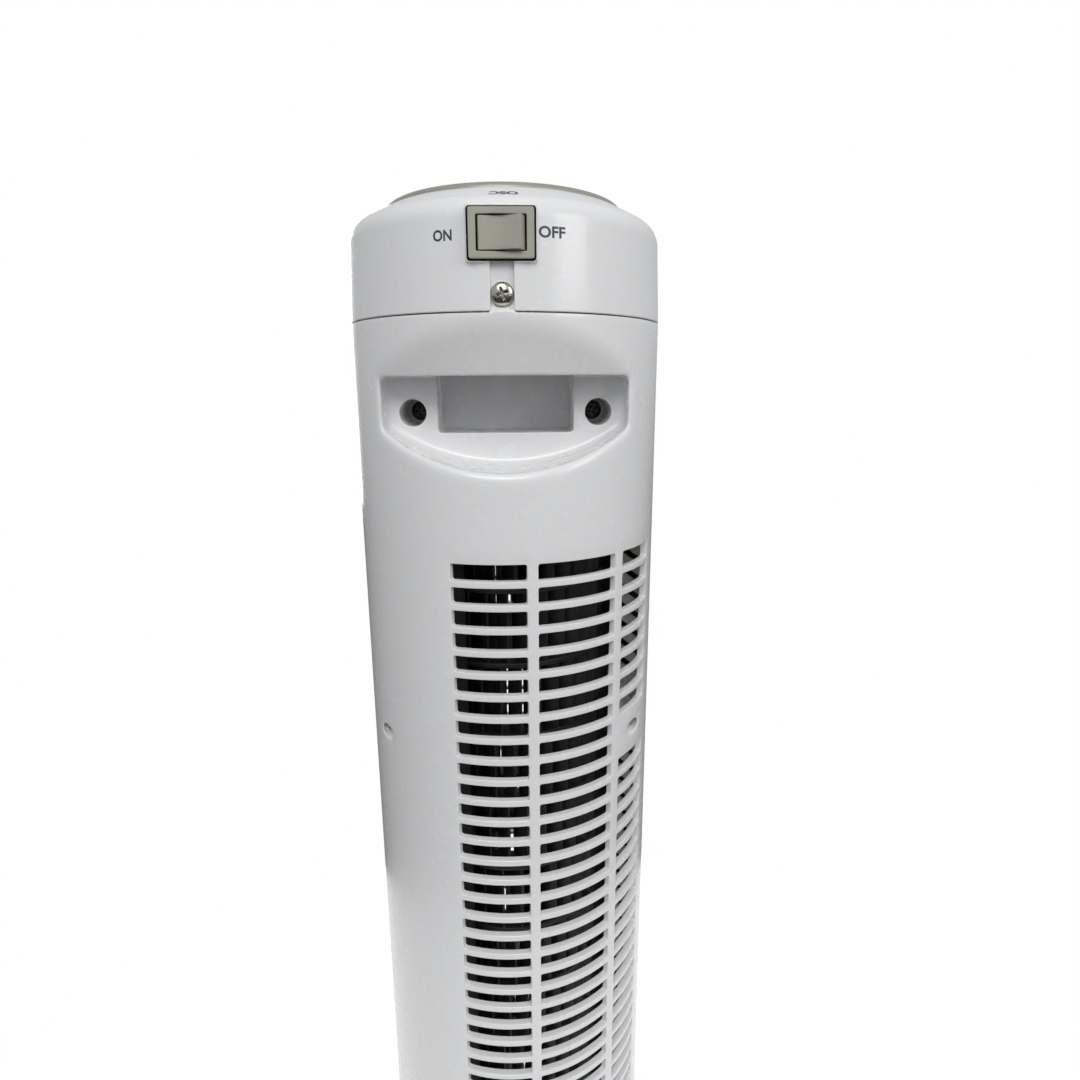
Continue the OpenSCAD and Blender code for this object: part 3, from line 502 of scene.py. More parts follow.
def surface(name, colour, roughness, metallic=0.0, coat=0.0, tint=0.04, blotch=28.0, spread=0.05,
        grain=1400.0, depth=0.004, sag=0.0, pitch=0.0, stretch=(1, 1, 1)):
    """A material with uneven colour and gloss and a fine moulded, ground or wound relief.

    tint is the colour's change and spread the roughness's, over blotches of 1 / blotch metres.
    depth is the height in millimetres of grain that is 1 / grain metres wide, sag that of a slow
    unevenness, and pitch the spacing in millimetres of level ridges, such as laminations.
    """
    mat = bpy.data.materials.new(name)
    FINISHES[name] = mat
    mat.use_nodes = True
    tree = mat.node_tree
    link = tree.links.new
    shader = tree.nodes["Principled BSDF"]
    shader.inputs["Metallic"].default_value = metallic
    shader.inputs["Coat Weight"].default_value = coat
    shader.inputs["Coat Roughness"].default_value = 0.14
    place = tree.nodes.new("ShaderNodeTexCoord")
    mapping = tree.nodes.new("ShaderNodeMapping")
    mapping.inputs["Scale"].default_value = stretch
    link(place.outputs["Object"], mapping.inputs["Vector"])

    def noise(scale, detail):
        node = tree.nodes.new("ShaderNodeTexNoise")
        node.inputs["Scale"].default_value = scale
        node.inputs["Detail"].default_value = detail
        link(mapping.outputs["Vector"], node.inputs["Vector"])
        return node.outputs["Fac"]

    ramp = tree.nodes.new("ShaderNodeValToRGB")
    for element, place_on_ramp, change in zip(ramp.color_ramp.elements, (0.32, 0.68), (-tint, tint)):
        element.position = place_on_ramp
        element.color = (*[min(1, c * (1 + change)) for c in colour], 1)
    link(noise(blotch, 6), ramp.inputs["Fac"])
    link(ramp.outputs["Color"], shader.inputs["Base Color"])
    rough = map_range(tree, noise(blotch * 5, 4), 0.3, 0.7, max(0.05, roughness - spread), roughness + spread)
    link(rough, shader.inputs["Roughness"])

    heights = [(noise(grain, 3), depth)]
    if sag:
        heights.append((noise(22, 1), sag))
    if pitch:
        ridges = tree.nodes.new("ShaderNodeTexWave")
        ridges.bands_direction = "Z"
        ridges.inputs["Scale"].default_value = 2 * math.pi / 20 / (pitch * MM)
        ridges.inputs["Distortion"].default_value = 0.6
        link(place.outputs["Object"], ridges.inputs["Vector"])
        heights.append((ridges.outputs["Fac"], pitch / 6))
    normal = None
    for height, distance in heights:
        bump = tree.nodes.new("ShaderNodeBump")
        bump.inputs["Distance"].default_value = distance * MM
        link(height, bump.inputs["Height"])
        if normal:
            link(normal, bump.inputs["Normal"])
        normal = bump.outputs["Normal"]
    link(normal, shader.inputs["Normal"])
    return mat


surface("white_abs", (0.80, 0.80, 0.805), 0.27, coat=0.3, tint=0.002, spread=0.012, depth=0.0004, sag=0.006)
surface("panel_silver", (0.36, 0.345, 0.315), 0.38, metallic=0.35, tint=0.05, blotch=60, grain=5200,
    depth=0.01)
surface("knob_silver", (0.50, 0.49, 0.47), 0.34, metallic=0.4, blotch=70, grain=5200, depth=0.008)
surface("switch_grey", (0.385, 0.38, 0.31), 0.36, tint=0.035, blotch=90, grain=2600, depth=0.012)
surface("impeller_black", (0.016, 0.016, 0.018), 0.42, tint=0.25, blotch=45, grain=1800, depth=0.01)
surface("duct_cream", (0.80, 0.78, 0.69), 0.45, tint=0.05, blotch=35, depth=0.01)
surface("duct_grey", (0.10, 0.095, 0.09), 0.5, tint=0.12, blotch=35, depth=0.01)
surface("control_plastic", (0.20, 0.09, 0.035), 0.4, tint=0.2, blotch=220, grain=3000, depth=0.012)
surface("timer_plastic", (0.62, 0.62, 0.60), 0.45, depth=0.012)
surface("screw_steel", (0.52, 0.50, 0.44), 0.2, metallic=1, tint=0.08, blotch=300, grain=3000, depth=0.001)
surface("shaft_steel", (0.55, 0.55, 0.56), 0.28, metallic=1, tint=0.07, blotch=300, grain=2600,
    stretch=(1, 1, 14))
surface("core_steel", (0.28, 0.29, 0.31), 0.42, metallic=0.9, tint=0.12, pitch=0.5)
surface("copper_windings", (0.50, 0.17, 0.06), 0.32, metallic=0.7, tint=0.15, blotch=160, pitch=0.45)
surface("motor_aluminium", (0.60, 0.60, 0.61), 0.46, metallic=1, tint=0.07, blotch=120, grain=1500,
    depth=0.03)
surface("bronze_bush", (0.52, 0.31, 0.13), 0.4, metallic=1, tint=0.14, blotch=600, grain=4500, depth=0.02)
surface("hub_brass", (0.66, 0.46, 0.19), 0.26, metallic=1, tint=0.08, blotch=260, stretch=(1, 1, 9))
surface("capacitor_black", (0.022, 0.022, 0.025), 0.3, coat=0.2, tint=0.2, blotch=90, depth=0.008)
surface("gear_nylon", (0.72, 0.69, 0.58), 0.42, blotch=110, depth=0.012)
surface("motor_can_steel", (0.56, 0.56, 0.55), 0.3, metallic=1, tint=0.08, blotch=180, grain=3200,
    depth=0.006)
surface("rubber_black", (0.028, 0.028, 0.028), 0.72, tint=0.2, blotch=200, grain=2400, depth=0.03)
# Painted shade: near-black steel for the handle screws, standing in for the shade deep in their holes.
surface("screw_painted_shade", (0.10, 0.10, 0.10), 0.4, metallic=1, tint=0.1, blotch=300, grain=3000, depth=0.002)
# Painted shade: near black, standing in for the shade inside the tower on the air guide.
surface("duct_painted_shade", (0.022, 0.022, 0.024), 0.5, tint=0.15, blotch=35, depth=0.01)
surface("label_ink", (0.045, 0.05, 0.07), 0.5, tint=0.15, blotch=500, grain=4000, depth=0.003)

for row in frame["record"]["subparts"]:
    for slot in nodes[row["node"]].material_slots:
        slot.material = FINISHES[row["material_slot"]]


def piece(obj, name, body, slot, *replaced, finish=None):
    """Names a new piece, gives it its finish and its body, and hides the CAD nodes it stands for."""
    obj.name = name
    obj.data.name = name
    obj.data.materials.clear()
    obj.data.materials.append(FINISHES[finish or slot])
    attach(obj, body)
    if replaced:
        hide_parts(*replaced)


# ---------- Rear housing ----------
# Its skin is drawn flat, in millimetres round the tower and up, and then put on its surface.

def to_flat(xz):
    """Flat places of points given by x and z."""
    return np.stack([-BODY_R * np.arcsin(np.clip(xz[:, 0] / BODY_R, -1, 1)), xz[:, 1]], 1)


def shell_surface(flat, thickness=0.0):
    """The housing's surface, or the one a wall thickness below it."""
    turn = flat[:, 0] / BODY_R
    z = flat[:, 1]
    t = np.clip((z - HOUSING_Z1) / TONGUE_BEND_H, 0, 1)
    r = BODY_R - thickness - TONGUE_DROP * (t * t * (3 - 2 * t))
    x = -r * np.sin(turn)
    y = r * np.cos(turn)
    scoop_r = SCOOP_R - thickness
    dish = SCOOP_AXIS_Y + (np.sqrt(np.maximum(scoop_r ** 2 - x ** 2, 0))
        + (z - LIP_Z) * math.sin(SCOOP_TILT)) / math.cos(SCOOP_TILT)
    gap = np.maximum(SCOOP_BLEND - np.abs(y - dish), 0)
    dished = np.minimum(y, dish) - gap * gap / (4 * SCOOP_BLEND)
    near_dish = (z > LIP_Z - 0.9 - thickness) & (z < HOUSING_Z1) & (np.abs(turn) < math.radians(58))
    return np.stack([x, np.where(near_dish, dished, y), z], 1)


def housing_border(inset):
    """The outline of the rear housing's skin with its tongue, as a flat loop."""
    half = math.radians(SEAM_TURN) * BODY_R - inset
    low, high = HOUSING_Z0 + inset, HOUSING_Z1 - inset
    tab, top = TONGUE_HALF_W - inset, TONGUE_Z1 - inset
    corners = [(-half, low), (half, low), (half, high), (tab, high), (tab, top), (-tab, top), (-tab, high),
        (-half, high), (-half, low)]
    return np.array(divided(corners, (70, 80, 35, 16, 4, 16, 35, 80)))


def recess_outline():
    """Mouth of the carry recess in x and z: a level lip, straight sides and a wide arc."""
    arc_z = RECESS_Z0 + RECESS_ARC_R
    side_z = arc_z - math.sqrt(RECESS_ARC_R ** 2 - RECESS_HALF_W ** 2)
    half = math.degrees(math.asin(RECESS_HALF_W / RECESS_ARC_R))
    bottom = arc(0, arc_z, RECESS_ARC_R, -90 - half, -90 + half, 89)
    corners = [(side * RECESS_HALF_W, z) for side, z in ((1, side_z), (1, LIP_Z), (-1, LIP_Z), (-1, side_z))]
    return round_corners(np.array(bottom[:-1] + divided(corners, (21, 87, 21))), 3.2, 1.0)


def round_corners(loop, radius, spacing):
    """A closed loop with its corners rounded, by averaging along its length."""
    closed = np.vstack([loop, loop[:1]])
    length = np.concatenate([[0], np.cumsum(np.linalg.norm(np.diff(closed, axis=0), axis=1))])
    n = int(length[-1] / spacing)
    at = np.arange(n) * length[-1] / n
    even = np.stack([np.interp(at, length, closed[:, k]) for k in (0, 1)], 1)
    width = max(1, round(radius / spacing))
    weights = np.hanning(2 * width + 3)[1:-1]
    weights /= weights.sum()
    out = np.zeros_like(even)
    for k, weight in enumerate(weights):
        out += weight * np.roll(even, k - width, 0)
    return out


def xz_points(xz, y):
    return np.stack([xz[:, 0], np.full(len(xz), y, float), xz[:, 1]], 1)


def back_to_y(points, y):
    return xz_points(points[:, ::2], y)


def slot_loops():
    """Flat outlines of the intake slots."""
    loops = []
    for row in range(SLOT_ROWS):
        top = SLOT_TOP_Z - row * SLOT_PITCH
        for k, (low, high) in enumerate(COLUMNS):
            if k < 2 or row not in PATCH_ROWS:
                x0, x1 = math.radians(low) * BODY_R, math.radians(high) * BODY_R
                loops.append(rounded_loop(x0, x1, top - SLOT_H, top, 0.8, 2.2, 1.6))
    return loops


def shell_grid():
    """Points of the housing's skin: coarse, finer round the recess, finest at the tongue's root."""
    half = math.radians(SEAM_TURN) * BODY_R
    coarse = grid_points(np.arange(-half + 1.15, half, 2.3), np.arange(HOUSING_Z0 + 2, TONGUE_Z1, SLOT_PITCH))
    near = (np.abs(coarse[:, 0]) < FINE_HALF_W) & (coarse[:, 1] > FINE_Z0)
    across = np.arange(-FINE_HALF_W, FINE_HALF_W + 0.1, 1.1)
    fine = grid_points(across, np.arange(FINE_Z0, HOUSING_Z1, 1.1))
    fine[:, 0] += np.where(np.arange(len(fine)) // len(across) % 2 == 0, 0, 0.55)
    at_root = (np.abs(fine[:, 0]) < 6) & (fine[:, 1] > HOUSING_Z1 - 3)
    root = grid_points(np.arange(-6, 6.1, 0.5), np.arange(HOUSING_Z1 - 3, TONGUE_Z1, 0.45))
    return np.concatenate([coarse[~near], fine[~at_root], root])


def rear_shell():
    solid = Solid()
    outer_border = housing_border(EDGE)
    full = housing_border(0)
    rings = rolled_edge(solid, shell_surface, outer_border, full, EDGE)
    outer_holes, inner_holes = [], []

    for loop in slot_loops():
        wide = offset_loop(loop, 0.4)
        ids = rolled_edge(solid, shell_surface, wide, loop, 0.4)
        outer_holes.append((wide, ids[0]))
        inner_holes.append((loop, ids[-1]))

    for x, z in SIDE_SPOTS:
        hole, wide, grown = (to_flat(circle_loop(x, z, SIDE_HOLE_R + more, 28)[::-1])
            for more in (0, 1.4, 1.1))
        rim = shell_surface(hole)
        ids = solid.loft(bend(shell_surface(wide), rim, rim - np.array([0, 1.2, 0]), 4)
            + [back_to_y(rim, SIDE_SEAT_Y)])
        solid.fill(ids[-1])
        outer_holes.append((wide, ids[0]))
        base = shell_surface(grown, WALL)
        ids = solid.loft([base, back_to_y(base, SIDE_SEAT_Y - 1.5)])
        solid.fill(ids[-1])
        inner_holes.append((grown, ids[0]))

    outline = recess_outline()[::-1]
    lip = np.clip((outline[:, 1] - (LIP_Z - 1.8)) / 1.8, 0, 1)
    reach = 4.2 - 3.3 * lip
    depth = 2.4 - 1.5 * lip
    foot = 3.2 - 2.2 * lip
    flat = to_flat(outline)
    wide = offset_loop(flat, reach)
    rim = shell_surface(flat)
    down = rim - depth[:, None] * (0, 1, 0)
    wall_end = back_to_y(rim, RECESS_BACK_Y + foot)
    back = xz_points(offset_loop(outline, -foot), RECESS_BACK_Y)
    foot_rings = bend(wall_end, xz_points(outline, RECESS_BACK_Y), back, 5)
    middle = [down + (wall_end - down) * t for t in (0.33, 0.66)]
    ids = solid.loft(bend(shell_surface(wide), rim, down, 7) + middle + foot_rings)
    outer_holes.append((wide, ids[0]))
    handle_holes = []
    for x in (-HANDLE_X, HANDLE_X):
        hole, wide_hole = (circle_loop(x, HANDLE_Z, HANDLE_HOLE_R + more, 40) for more in (0, EDGE))
        ids_in = solid.loft(bend(xz_points(wide_hole, RECESS_BACK_Y), xz_points(hole, RECESS_BACK_Y),
            xz_points(hole, RECESS_BACK_Y - EDGE), 3) + [xz_points(hole, HANDLE_SEAT_Y)])
        solid.fill(ids_in[-1])
        handle_holes.append((wide_hole, ids_in[0]))
    back_grid = grid_points(np.arange(-44, 45, 2.2), np.arange(RECESS_Z0 + 1, LIP_Z, 2.15))
    across, up = np.abs(back_grid[:, 0]) - POCKET_HALF_W, back_grid[:, 1] - POCKET_Z0
    back_grid = back_grid[~((across < 1.6) & (up > -1.6) & ~((across < -1.6) & (up > 1.6)))]
    skin(solid, lambda p: xz_points(p, RECESS_BACK_Y), (back[:, ::2], ids[-1]), handle_holes, back_grid)

    grown = offset_loop(outline, 2.0)
    flat = to_flat(grown)
    ids = solid.loft([shell_surface(flat, WALL), xz_points(grown, RECESS_BACK_Y - 2)])
    inner_holes.append((flat, ids[0]))
    handle_holes = []
    for x in (-HANDLE_X, HANDLE_X):
        hole = circle_loop(x, HANDLE_Z, HANDLE_HOLE_R + 1.6, 40)
        ids_in = solid.loft([xz_points(hole, RECESS_BACK_Y - 2), xz_points(hole, HANDLE_SEAT_Y - 2)])
        solid.fill(ids_in[-1])
        handle_holes.append((hole, ids_in[0]))
    skin(solid, lambda p: xz_points(p, RECESS_BACK_Y - 2), (grown, ids[-1]), handle_holes, back_grid)

    grid = shell_grid()
    skin(solid, shell_surface, (outer_border, rings[0]), outer_holes, grid)
    skin(solid, lambda p: shell_surface(p, WALL), (full, rings[-1]), inner_holes, grid)
    return solid.object("rear_housing_shell")


def add_finger_pocket(shell):
    """The deep box behind the lip that the fingers reach into."""
    def l_shape(tub, front_y, rear_y, low_z):
        back = box_object(POCKET_HALF_W + tub, (POCKET_BACK_Y - tub, front_y),
            (POCKET_Z0 - tub, POCKET_Z1 + tub), 1.5, 0.6)
        top = box_object(POCKET_HALF_W + tub, (rear_y, POCKET_FRONT_Y + tub),
            (low_z, POCKET_Z1 + tub), 1.5, 0.6)
        return combine(back, top, "UNION")

    walls = l_shape(2, RECESS_BACK_Y - 1, RECESS_BACK_Y - 2.2, LIP_Z + 1)
    room = l_shape(0, RECESS_BACK_Y + 2, RECESS_BACK_Y - 1, LIP_Z - 4)
    combine(shell, walls, "UNION")
    combine(shell, room)
    half = POCKET_HALF_W + 0.3

    def at_mouth(p):
        in_back = abs(p.y - RECESS_BACK_Y) < 0.05 and POCKET_Z0 - 0.3 < p.z < LIP_Z
        in_lip = abs(p.z - LIP_Z) < 0.05 and RECESS_BACK_Y < p.y < POCKET_FRONT_Y + 0.3
        return abs(p.x) < half and (in_back or in_lip)

    return soften(shell, 0.45, 50, at_mouth, flatten=0)


def rear_housing():
    shell = add_finger_pocket(rear_shell())
    posts = Solid()
    for x, z in SIDE_SPOTS:
        prism(posts, circle_loop(x, z, SIDE_BOSS_R, 24), SEAM / 2, SIDE_SEAT_Y - 1.6, 0.2, along_y)
    for a in (45, 135):
        foot_boss(posts, a)
    piece(merge(shell, posts.object("posts")), "rear_housing_shell", "tower", "white_abs", "rear_housing")


def foot_boss(solid, degrees):
    """A boss at the bottom of a housing, for a screw through the tower foot."""
    a = math.radians(degrees)
    x, y = FOOT_BOSS_R * math.cos(a), FOOT_BOSS_R * math.sin(a)
    prism(solid, circle_loop(x, y, 3.4, 24), HOUSING_Z0, HOUSING_Z0 + 18, 0.2)


# ---------- Front housing and outlet grille ----------

def front_surface(flat, thickness=0.0):
    return around_tower(BODY_R - thickness, flat[:, 0] / BODY_R - math.pi / 2, flat[:, 1])


def front_housing():
    solid = Solid()
    half = math.radians(SEAM_TURN) * BODY_R
    full = rounded_loop(-half, half, HOUSING_Z0, HOUSING_Z1, 0.5, 2.4, 8)
    border = offset_loop(full, -EDGE)
    rings = rolled_edge(solid, front_surface, border, full, EDGE)
    mouth_half = math.radians(OUTLET_TURN) * BODY_R
    mouth = rounded_loop(-mouth_half, mouth_half, OUTLET_Z0, OUTLET_Z1, 3, 2.4, 8, 6)
    wide = offset_loop(mouth, 0.8)
    ids = rolled_edge(solid, front_surface, wide, mouth, 0.8, 4)
    grid = grid_points(np.arange(-half + 1.2, half, 2.4), np.arange(HOUSING_Z0 + 4, HOUSING_Z1 - 1, 8))
    skin(solid, front_surface, (border, rings[0]), [(wide, ids[0])], grid)
    skin(solid, lambda p: front_surface(p, WALL), (full, rings[-1]), [(mouth, ids[-1])], grid)
    inner_y = -math.sqrt(INNER_R ** 2 - HANDLE_X ** 2)
    for x in (-HANDLE_X, HANDLE_X):
        prism(solid, circle_loop(x, HANDLE_Z, 4.6, 32), inner_y - 1, HANDLE_SEAT_Y - 2.3, 0.2, along_y)
    for x, z in SIDE_SPOTS:
        prism(solid, circle_loop(x, z, SIDE_BOSS_R, 24), -18.5, -SEAM / 2, 0.2, along_y)
        rib = sorted((x, math.copysign(INNER_R - 1, x)))
        prism(solid, box_loop(*rib, z - 1.2, z + 1.2, 0.3), -17.5, -2.8, 0.2, along_y)
    for a in (225, 315):
        foot_boss(solid, a)
    piece(solid.object("front"), "front_housing_shell", "tower", "white_abs", "front_housing")


def sector_loop(r_in, r_out, start, end, radius, steps):
    """A part of a ring as a flat loop with round corners."""
    outer = arc(0, 0, r_out, start, end, steps)
    inner = arc(0, 0, r_in, end, start, steps)
    radii = [radius] + [0] * (steps - 1) + [radius]
    return rounded(outer + inner, radii + radii)


def front_grille():
    solid = Solid()
    z0, z1 = OUTLET_Z0 + 0.4, OUTLET_Z1 - 0.4
    start, end = 270 - OUTLET_TURN + 0.4, 270 + OUTLET_TURN - 0.4
    rim, rim_turn = 4, 4
    count = int((z1 - z0 - 2 * rim) / 9)
    for k in range(count):
        z = z0 + rim + (k + 1) * (z1 - z0 - 2 * rim) / (count + 1)
        section = box_loop(BODY_R - 4.6, BODY_R - 0.4, z - 0.8, z + 0.8, 0.6, 3)
        sweep_arc(solid, section, start + 1, end - 1, 40)
    for low in (z0, z1 - rim):
        sweep_arc(solid, box_loop(BODY_R - 4, BODY_R - 0.35, low, low + rim, 0.8), start + 0.6, end - 0.6, 40)
    for low in (start, end - rim_turn):
        prism(solid, sector_loop(BODY_R - 4, BODY_R - 0.3, low, low + rim_turn, 0.8, 5), z0, z1, 0.6)
    for k in (1, 2, 3):
        middle = start + k * (end - start) / 4
        prism(solid, sector_loop(BODY_R - 5, BODY_R - 0.8, middle - 0.8, middle + 0.8, 0.5, 3),
            z0 + 1, z1 - 1, 0.4)
    piece(solid.object("grille"), "front_grille_bars", "tower", "white_abs", "front_grille")


# ---------- Top cap, panel and controls ----------

SHOULDER_X = BODY_R - CAP_DRAFT - SHOULDER_R
SHOULDER_Z = (CAP_Z1 - (SHOULDER_X - PANEL_R - PANEL_GAP) * math.tan(SHOULDER_FALL)
    - SHOULDER_R / math.cos(SHOULDER_FALL))


def cap_r(z):
    """Outer radius of the cap's wall."""
    return BODY_R - CAP_DRAFT * np.clip((z - CAP_Z0) / (SHOULDER_Z - CAP_Z0), 0, 1)


def at_switch(half_w, half_h, depths, radius, edge=0.0, up=0.0):
    """A box round the middle of the switch, between two depths."""
    return box_object(half_w, depths, (SWITCH_Z - half_h, SWITCH_Z + half_h + up), radius, edge)


def top_cap():
    mouth_r = PANEL_R + PANEL_GAP
    sweep = 90 - math.degrees(SHOULDER_FALL)
    ledge_z = PANEL_SEAT_Z - 2
    outline = [(BODY_R, CAP_Z0)]
    outline += [(float(cap_r(z)), z) for z in np.linspace(CAP_Z0 + 2, SHOULDER_Z - 0.5, 8)]
    outline += arc(SHOULDER_X, SHOULDER_Z, SHOULDER_R, 0, sweep, 18)
    outline += [(mouth_r + 2.6, CAP_Z1 - 2.6 * math.tan(SHOULDER_FALL)), (mouth_r, CAP_Z1)]
    outline += [(mouth_r, PANEL_SEAT_Z), (PANEL_R - 4, PANEL_SEAT_Z), (PANEL_R - 4, ledge_z)]
    outline += [(PANEL_R + 2, ledge_z)] + arc(SHOULDER_X, SHOULDER_Z, SHOULDER_R - WALL, sweep, 0, 10)
    outline += [(INNER_R, CAP_Z0)]
    radii = [0.4] + [0] * 8 + [0] * 19 + [0, 0.3, 0, 0.2, 0.2, 0] + [0] * 11 + [0.2]
    cap = lathe(Solid(), rounded(outline, radii), 256).object("cap")
    out = BODY_R + 3
    pad = at_switch(BEZEL_HALF_W + 1.05, BEZEL_HALF_H + 0.85, (INNER_R - 4, BODY_R), 1.2, 0.5, up=0.6)
    combine(cap, pad, "UNION")
    groove = at_switch(BEZEL_HALF_W + 0.35, BEZEL_HALF_H + 0.3, (BODY_R - 0.4, out), 0.8)
    combine(cap, groove)
    screw_block = box_object(8, (INNER_R - 8, INNER_R + 0.6), (CAP_Z0 + 0.2, SEAM_Z + 17), 0.6)
    combine(cap, screw_block, "UNION")
    tongue_channel = box_object(3.75, (BODY_R - 4.8, out), (CAP_Z0 - 3, SEAM_Z + 15.6), 0.3)
    combine(cap, tongue_channel)
    switch_opening = at_switch(9.6, 6.5, (INNER_R - 14, out), 0.5)
    combine(cap, switch_opening)
    combine(cap, cylinder(0, CAP_SCREW_Z, 1.8, INNER_R - 12, BODY_R - 2, 24, along_y))

    def at_rear(p):
        return abs(p.x) < 13 and p.y > BODY_R - 3.6 and p.z < SWITCH_Z + 10

    soften(cap, 0.3, 35, at_rear, flatten=0.05)
    piece(weigh_normals(cap), "top_cap_shell", "tower", "white_abs", "top_cap")


def text_mesh(text, width, height, place, name, bold=0.028):
    """Printed lettering: place turns its u, v and height w, from its middle, into points."""
    curve = bpy.data.curves.new(name, "FONT")
    curve.body = text
    curve.align_x = "CENTER"
    curve.extrude = 0.5
    curve.resolution_u = 4
    curve.offset = bold
    maker = linked(name, curve)
    mesh = evaluated_mesh(maker)
    bpy.data.objects.remove(maker)
    points = np.array([tuple(v.co) for v in mesh.vertices])
    low, high = points.min(0), points.max(0)
    middle = (low + high) / 2
    u, v, above = (points - middle).T / (high - low)[:, None] * [[width], [height], [1]]
    w = (above > 0) * LABEL_T - LABEL_SUNK
    mesh.vertices.foreach_set("co", (place(u, v, w) * MM).ravel())
    mesh.materials.clear()
    return finish_mesh(mesh, name, sharp=40)


def printed(obj, name, body="tower"):
    piece(obj, name, body, "impeller_black", finish="label_ink")


def wall_label(text, turn, z, width, height, name):
    """Lettering on the cap's wall, read from behind."""
    def place(u, v, w):
        return around_tower(cap_r(z + v) + w, math.radians(90 + turn) + u / BODY_R, z + v)
    printed(text_mesh(text, width, height, place, name), name)


def slope_label(text, radius, x, width, height, name):
    """Lettering on the cap's sloping top, read from the front of the fan."""
    fall = math.tan(SHOULDER_FALL)

    def place(u, v, w):
        r = radius + v * math.cos(SHOULDER_FALL)
        z = CAP_Z1 - (r - PANEL_R - PANEL_GAP) * fall + w / math.cos(SHOULDER_FALL)
        return around_tower(r, math.pi / 2 - (x + u) / radius, z)
    printed(text_mesh(text, width, height, place, name, 0.045), name)


def control_panel():
    edge = PANEL_R - PANEL_EDGE
    bottom = PANEL_SEAT_Z + 0.1
    under = PANEL_Z1 - 2.2
    outline = [(PANEL_R - 4, bottom), (PANEL_R, bottom)]
    outline += arc(edge, PANEL_Z1 - PANEL_EDGE, PANEL_EDGE, 0, 90, 8)
    outline += [(r, PANEL_Z1) for r in (36, 24, 12)] + [(0, PANEL_Z1), (0, under), (PANEL_R - 4, under)]
    radii = [0.2, 0.3] + [0] * 9 + [0] * 5 + [0.3]
    panel = lathe(Solid(), rounded(outline, radii), 256).object("panel")
    for x in (-DIAL_X, DIAL_X):
        combine(panel, cylinder(x, DIAL_Y, 3.4, PANEL_Z1 - 6, PANEL_Z1 + 2))
    posts = Solid()
    for side in (-1, 1):
        for t in (-14, 14):
            prism(posts, circle_loop(side * DIAL_X + t, DIAL_Y, 2.6, 24), PANEL_Z1 - 10, under + 0.3, 0.1)
    panel = weigh_normals(merge(panel, posts.object("posts")))
    piece(panel, "control_panel_plate", "tower", "panel_silver", "control_panel")


def turned_loop(loop, a):
    """A flat loop turned by an angle in radians."""
    c, s = math.cos(a), math.sin(a)
    return np.stack([loop[:, 0] * c - loop[:, 1] * s, loop[:, 0] * s + loop[:, 1] * c], 1)


def dial_scale(x, start, step, ticks, names, name):
    """Ticks and numbers round a dial: names gives the text at some of the ticks."""
    parts = []
    marks = Solid()
    for k in range(ticks):
        a = math.radians(start + step * k)
        reach = 17.2 if k in names else 16.6
        loop = box_loop(15.7, reach, -0.16, 0.16, 0.08, 2)
        prism(marks, turned_loop(loop, a) + (x, DIAL_Y), PANEL_Z1 - LABEL_SUNK, PANEL_Z1 + 0.03, 0)
        if k in names:
            at_x, at_y = x + 19.4 * math.cos(a), DIAL_Y + 19.4 * math.sin(a)
            text = names[k]
            parts.append(text_mesh(text, 2.3 * (0.62 * len(text) + 0.05), 2.3,
                lambda u, v, w: np.stack([at_x + u, at_y + v, PANEL_Z1 + w], 1), name + text))
    printed(merge(marks.object(name), *parts), name)


def dial(x, name, body):
    """A fluted dial with a grip bar, and the line on the bar that shows its setting."""
    outline = [(3, 0), (5.5, 0), (5.5, 3.6), (11.4, 3.6), (11.4, 0), (15, 0), (15, 2.2), (13.6, 2.2),
        (12.9, 6), (0, 6), (0, 5.8), (3, 5.8)]
    radii = [0.2, 0.2, 0, 0, 0.2, 0.3, 0.6, 0.3, 0.7, 0, 0, 0]
    profile = rounded(outline, radii, 5) + np.array([0, KNOB_Z0])

    def flutes(points, a):
        on_side = (points[:, 1] > KNOB_Z0 + 2.25) & (points[:, 1] < KNOB_Z0 + 5.8) & (points[:, 0] > 12)
        return 1 - 0.022 * on_side * max(0.0, math.cos(36 * a)) ** 3

    knob = lathe(Solid(), profile, 360, x, DIAL_Y, flutes).object("knob")
    top = KNOB_Z0 + KNOB_H
    bar = prism(Solid(), box_loop(x - 12.7, x + 12.7, DIAL_Y - 2.6, DIAL_Y + 2.6, 1.6, 6), KNOB_Z0 + 4.6,
        top, 0.9, steps=5)
    combine(knob, bar.object("bar"), "UNION")
    soften(knob, 0.25, 50, lambda p: p.z > KNOB_Z0 + 5.9, segments=2, flatten=0)
    piece(weigh_normals(knob), name + "_grip", body, "knob_silver", name)
    line = prism(Solid(), box_loop(x - 11.4, x - 4.5, DIAL_Y - 0.45, DIAL_Y + 0.45, 0.3), top - 0.05,
        top + 0.03, 0)
    printed(line.object("line"), name + "_line", body)


def switch_body():
    """The oscillation switch's bezel and the box behind it."""
    front = BODY_R + 0.03
    body = at_switch(BEZEL_HALF_W, BEZEL_HALF_H, (front - 0.85, front + 1.4), 0.7, 0.3)
    combine(body, at_switch(9.4, 6.3, (BODY_R - 20, front + 0.5), 0.5, 0.2), "UNION")
    combine(body, at_switch(7.8, 5.25, (BODY_R - 12, BODY_R + 4), 0.35))
    combine(body, cylinder(0, ROCKER_AXIS_Y, 1.25, SWITCH_Z - 6, SWITCH_Z + 6))
    soften(body, 0.3, 50, lambda p: p.y > BODY_R + 1.2)
    piece(weigh_normals(body), "switch_bezel", "tower", "switch_grey", "osc_switch_body")


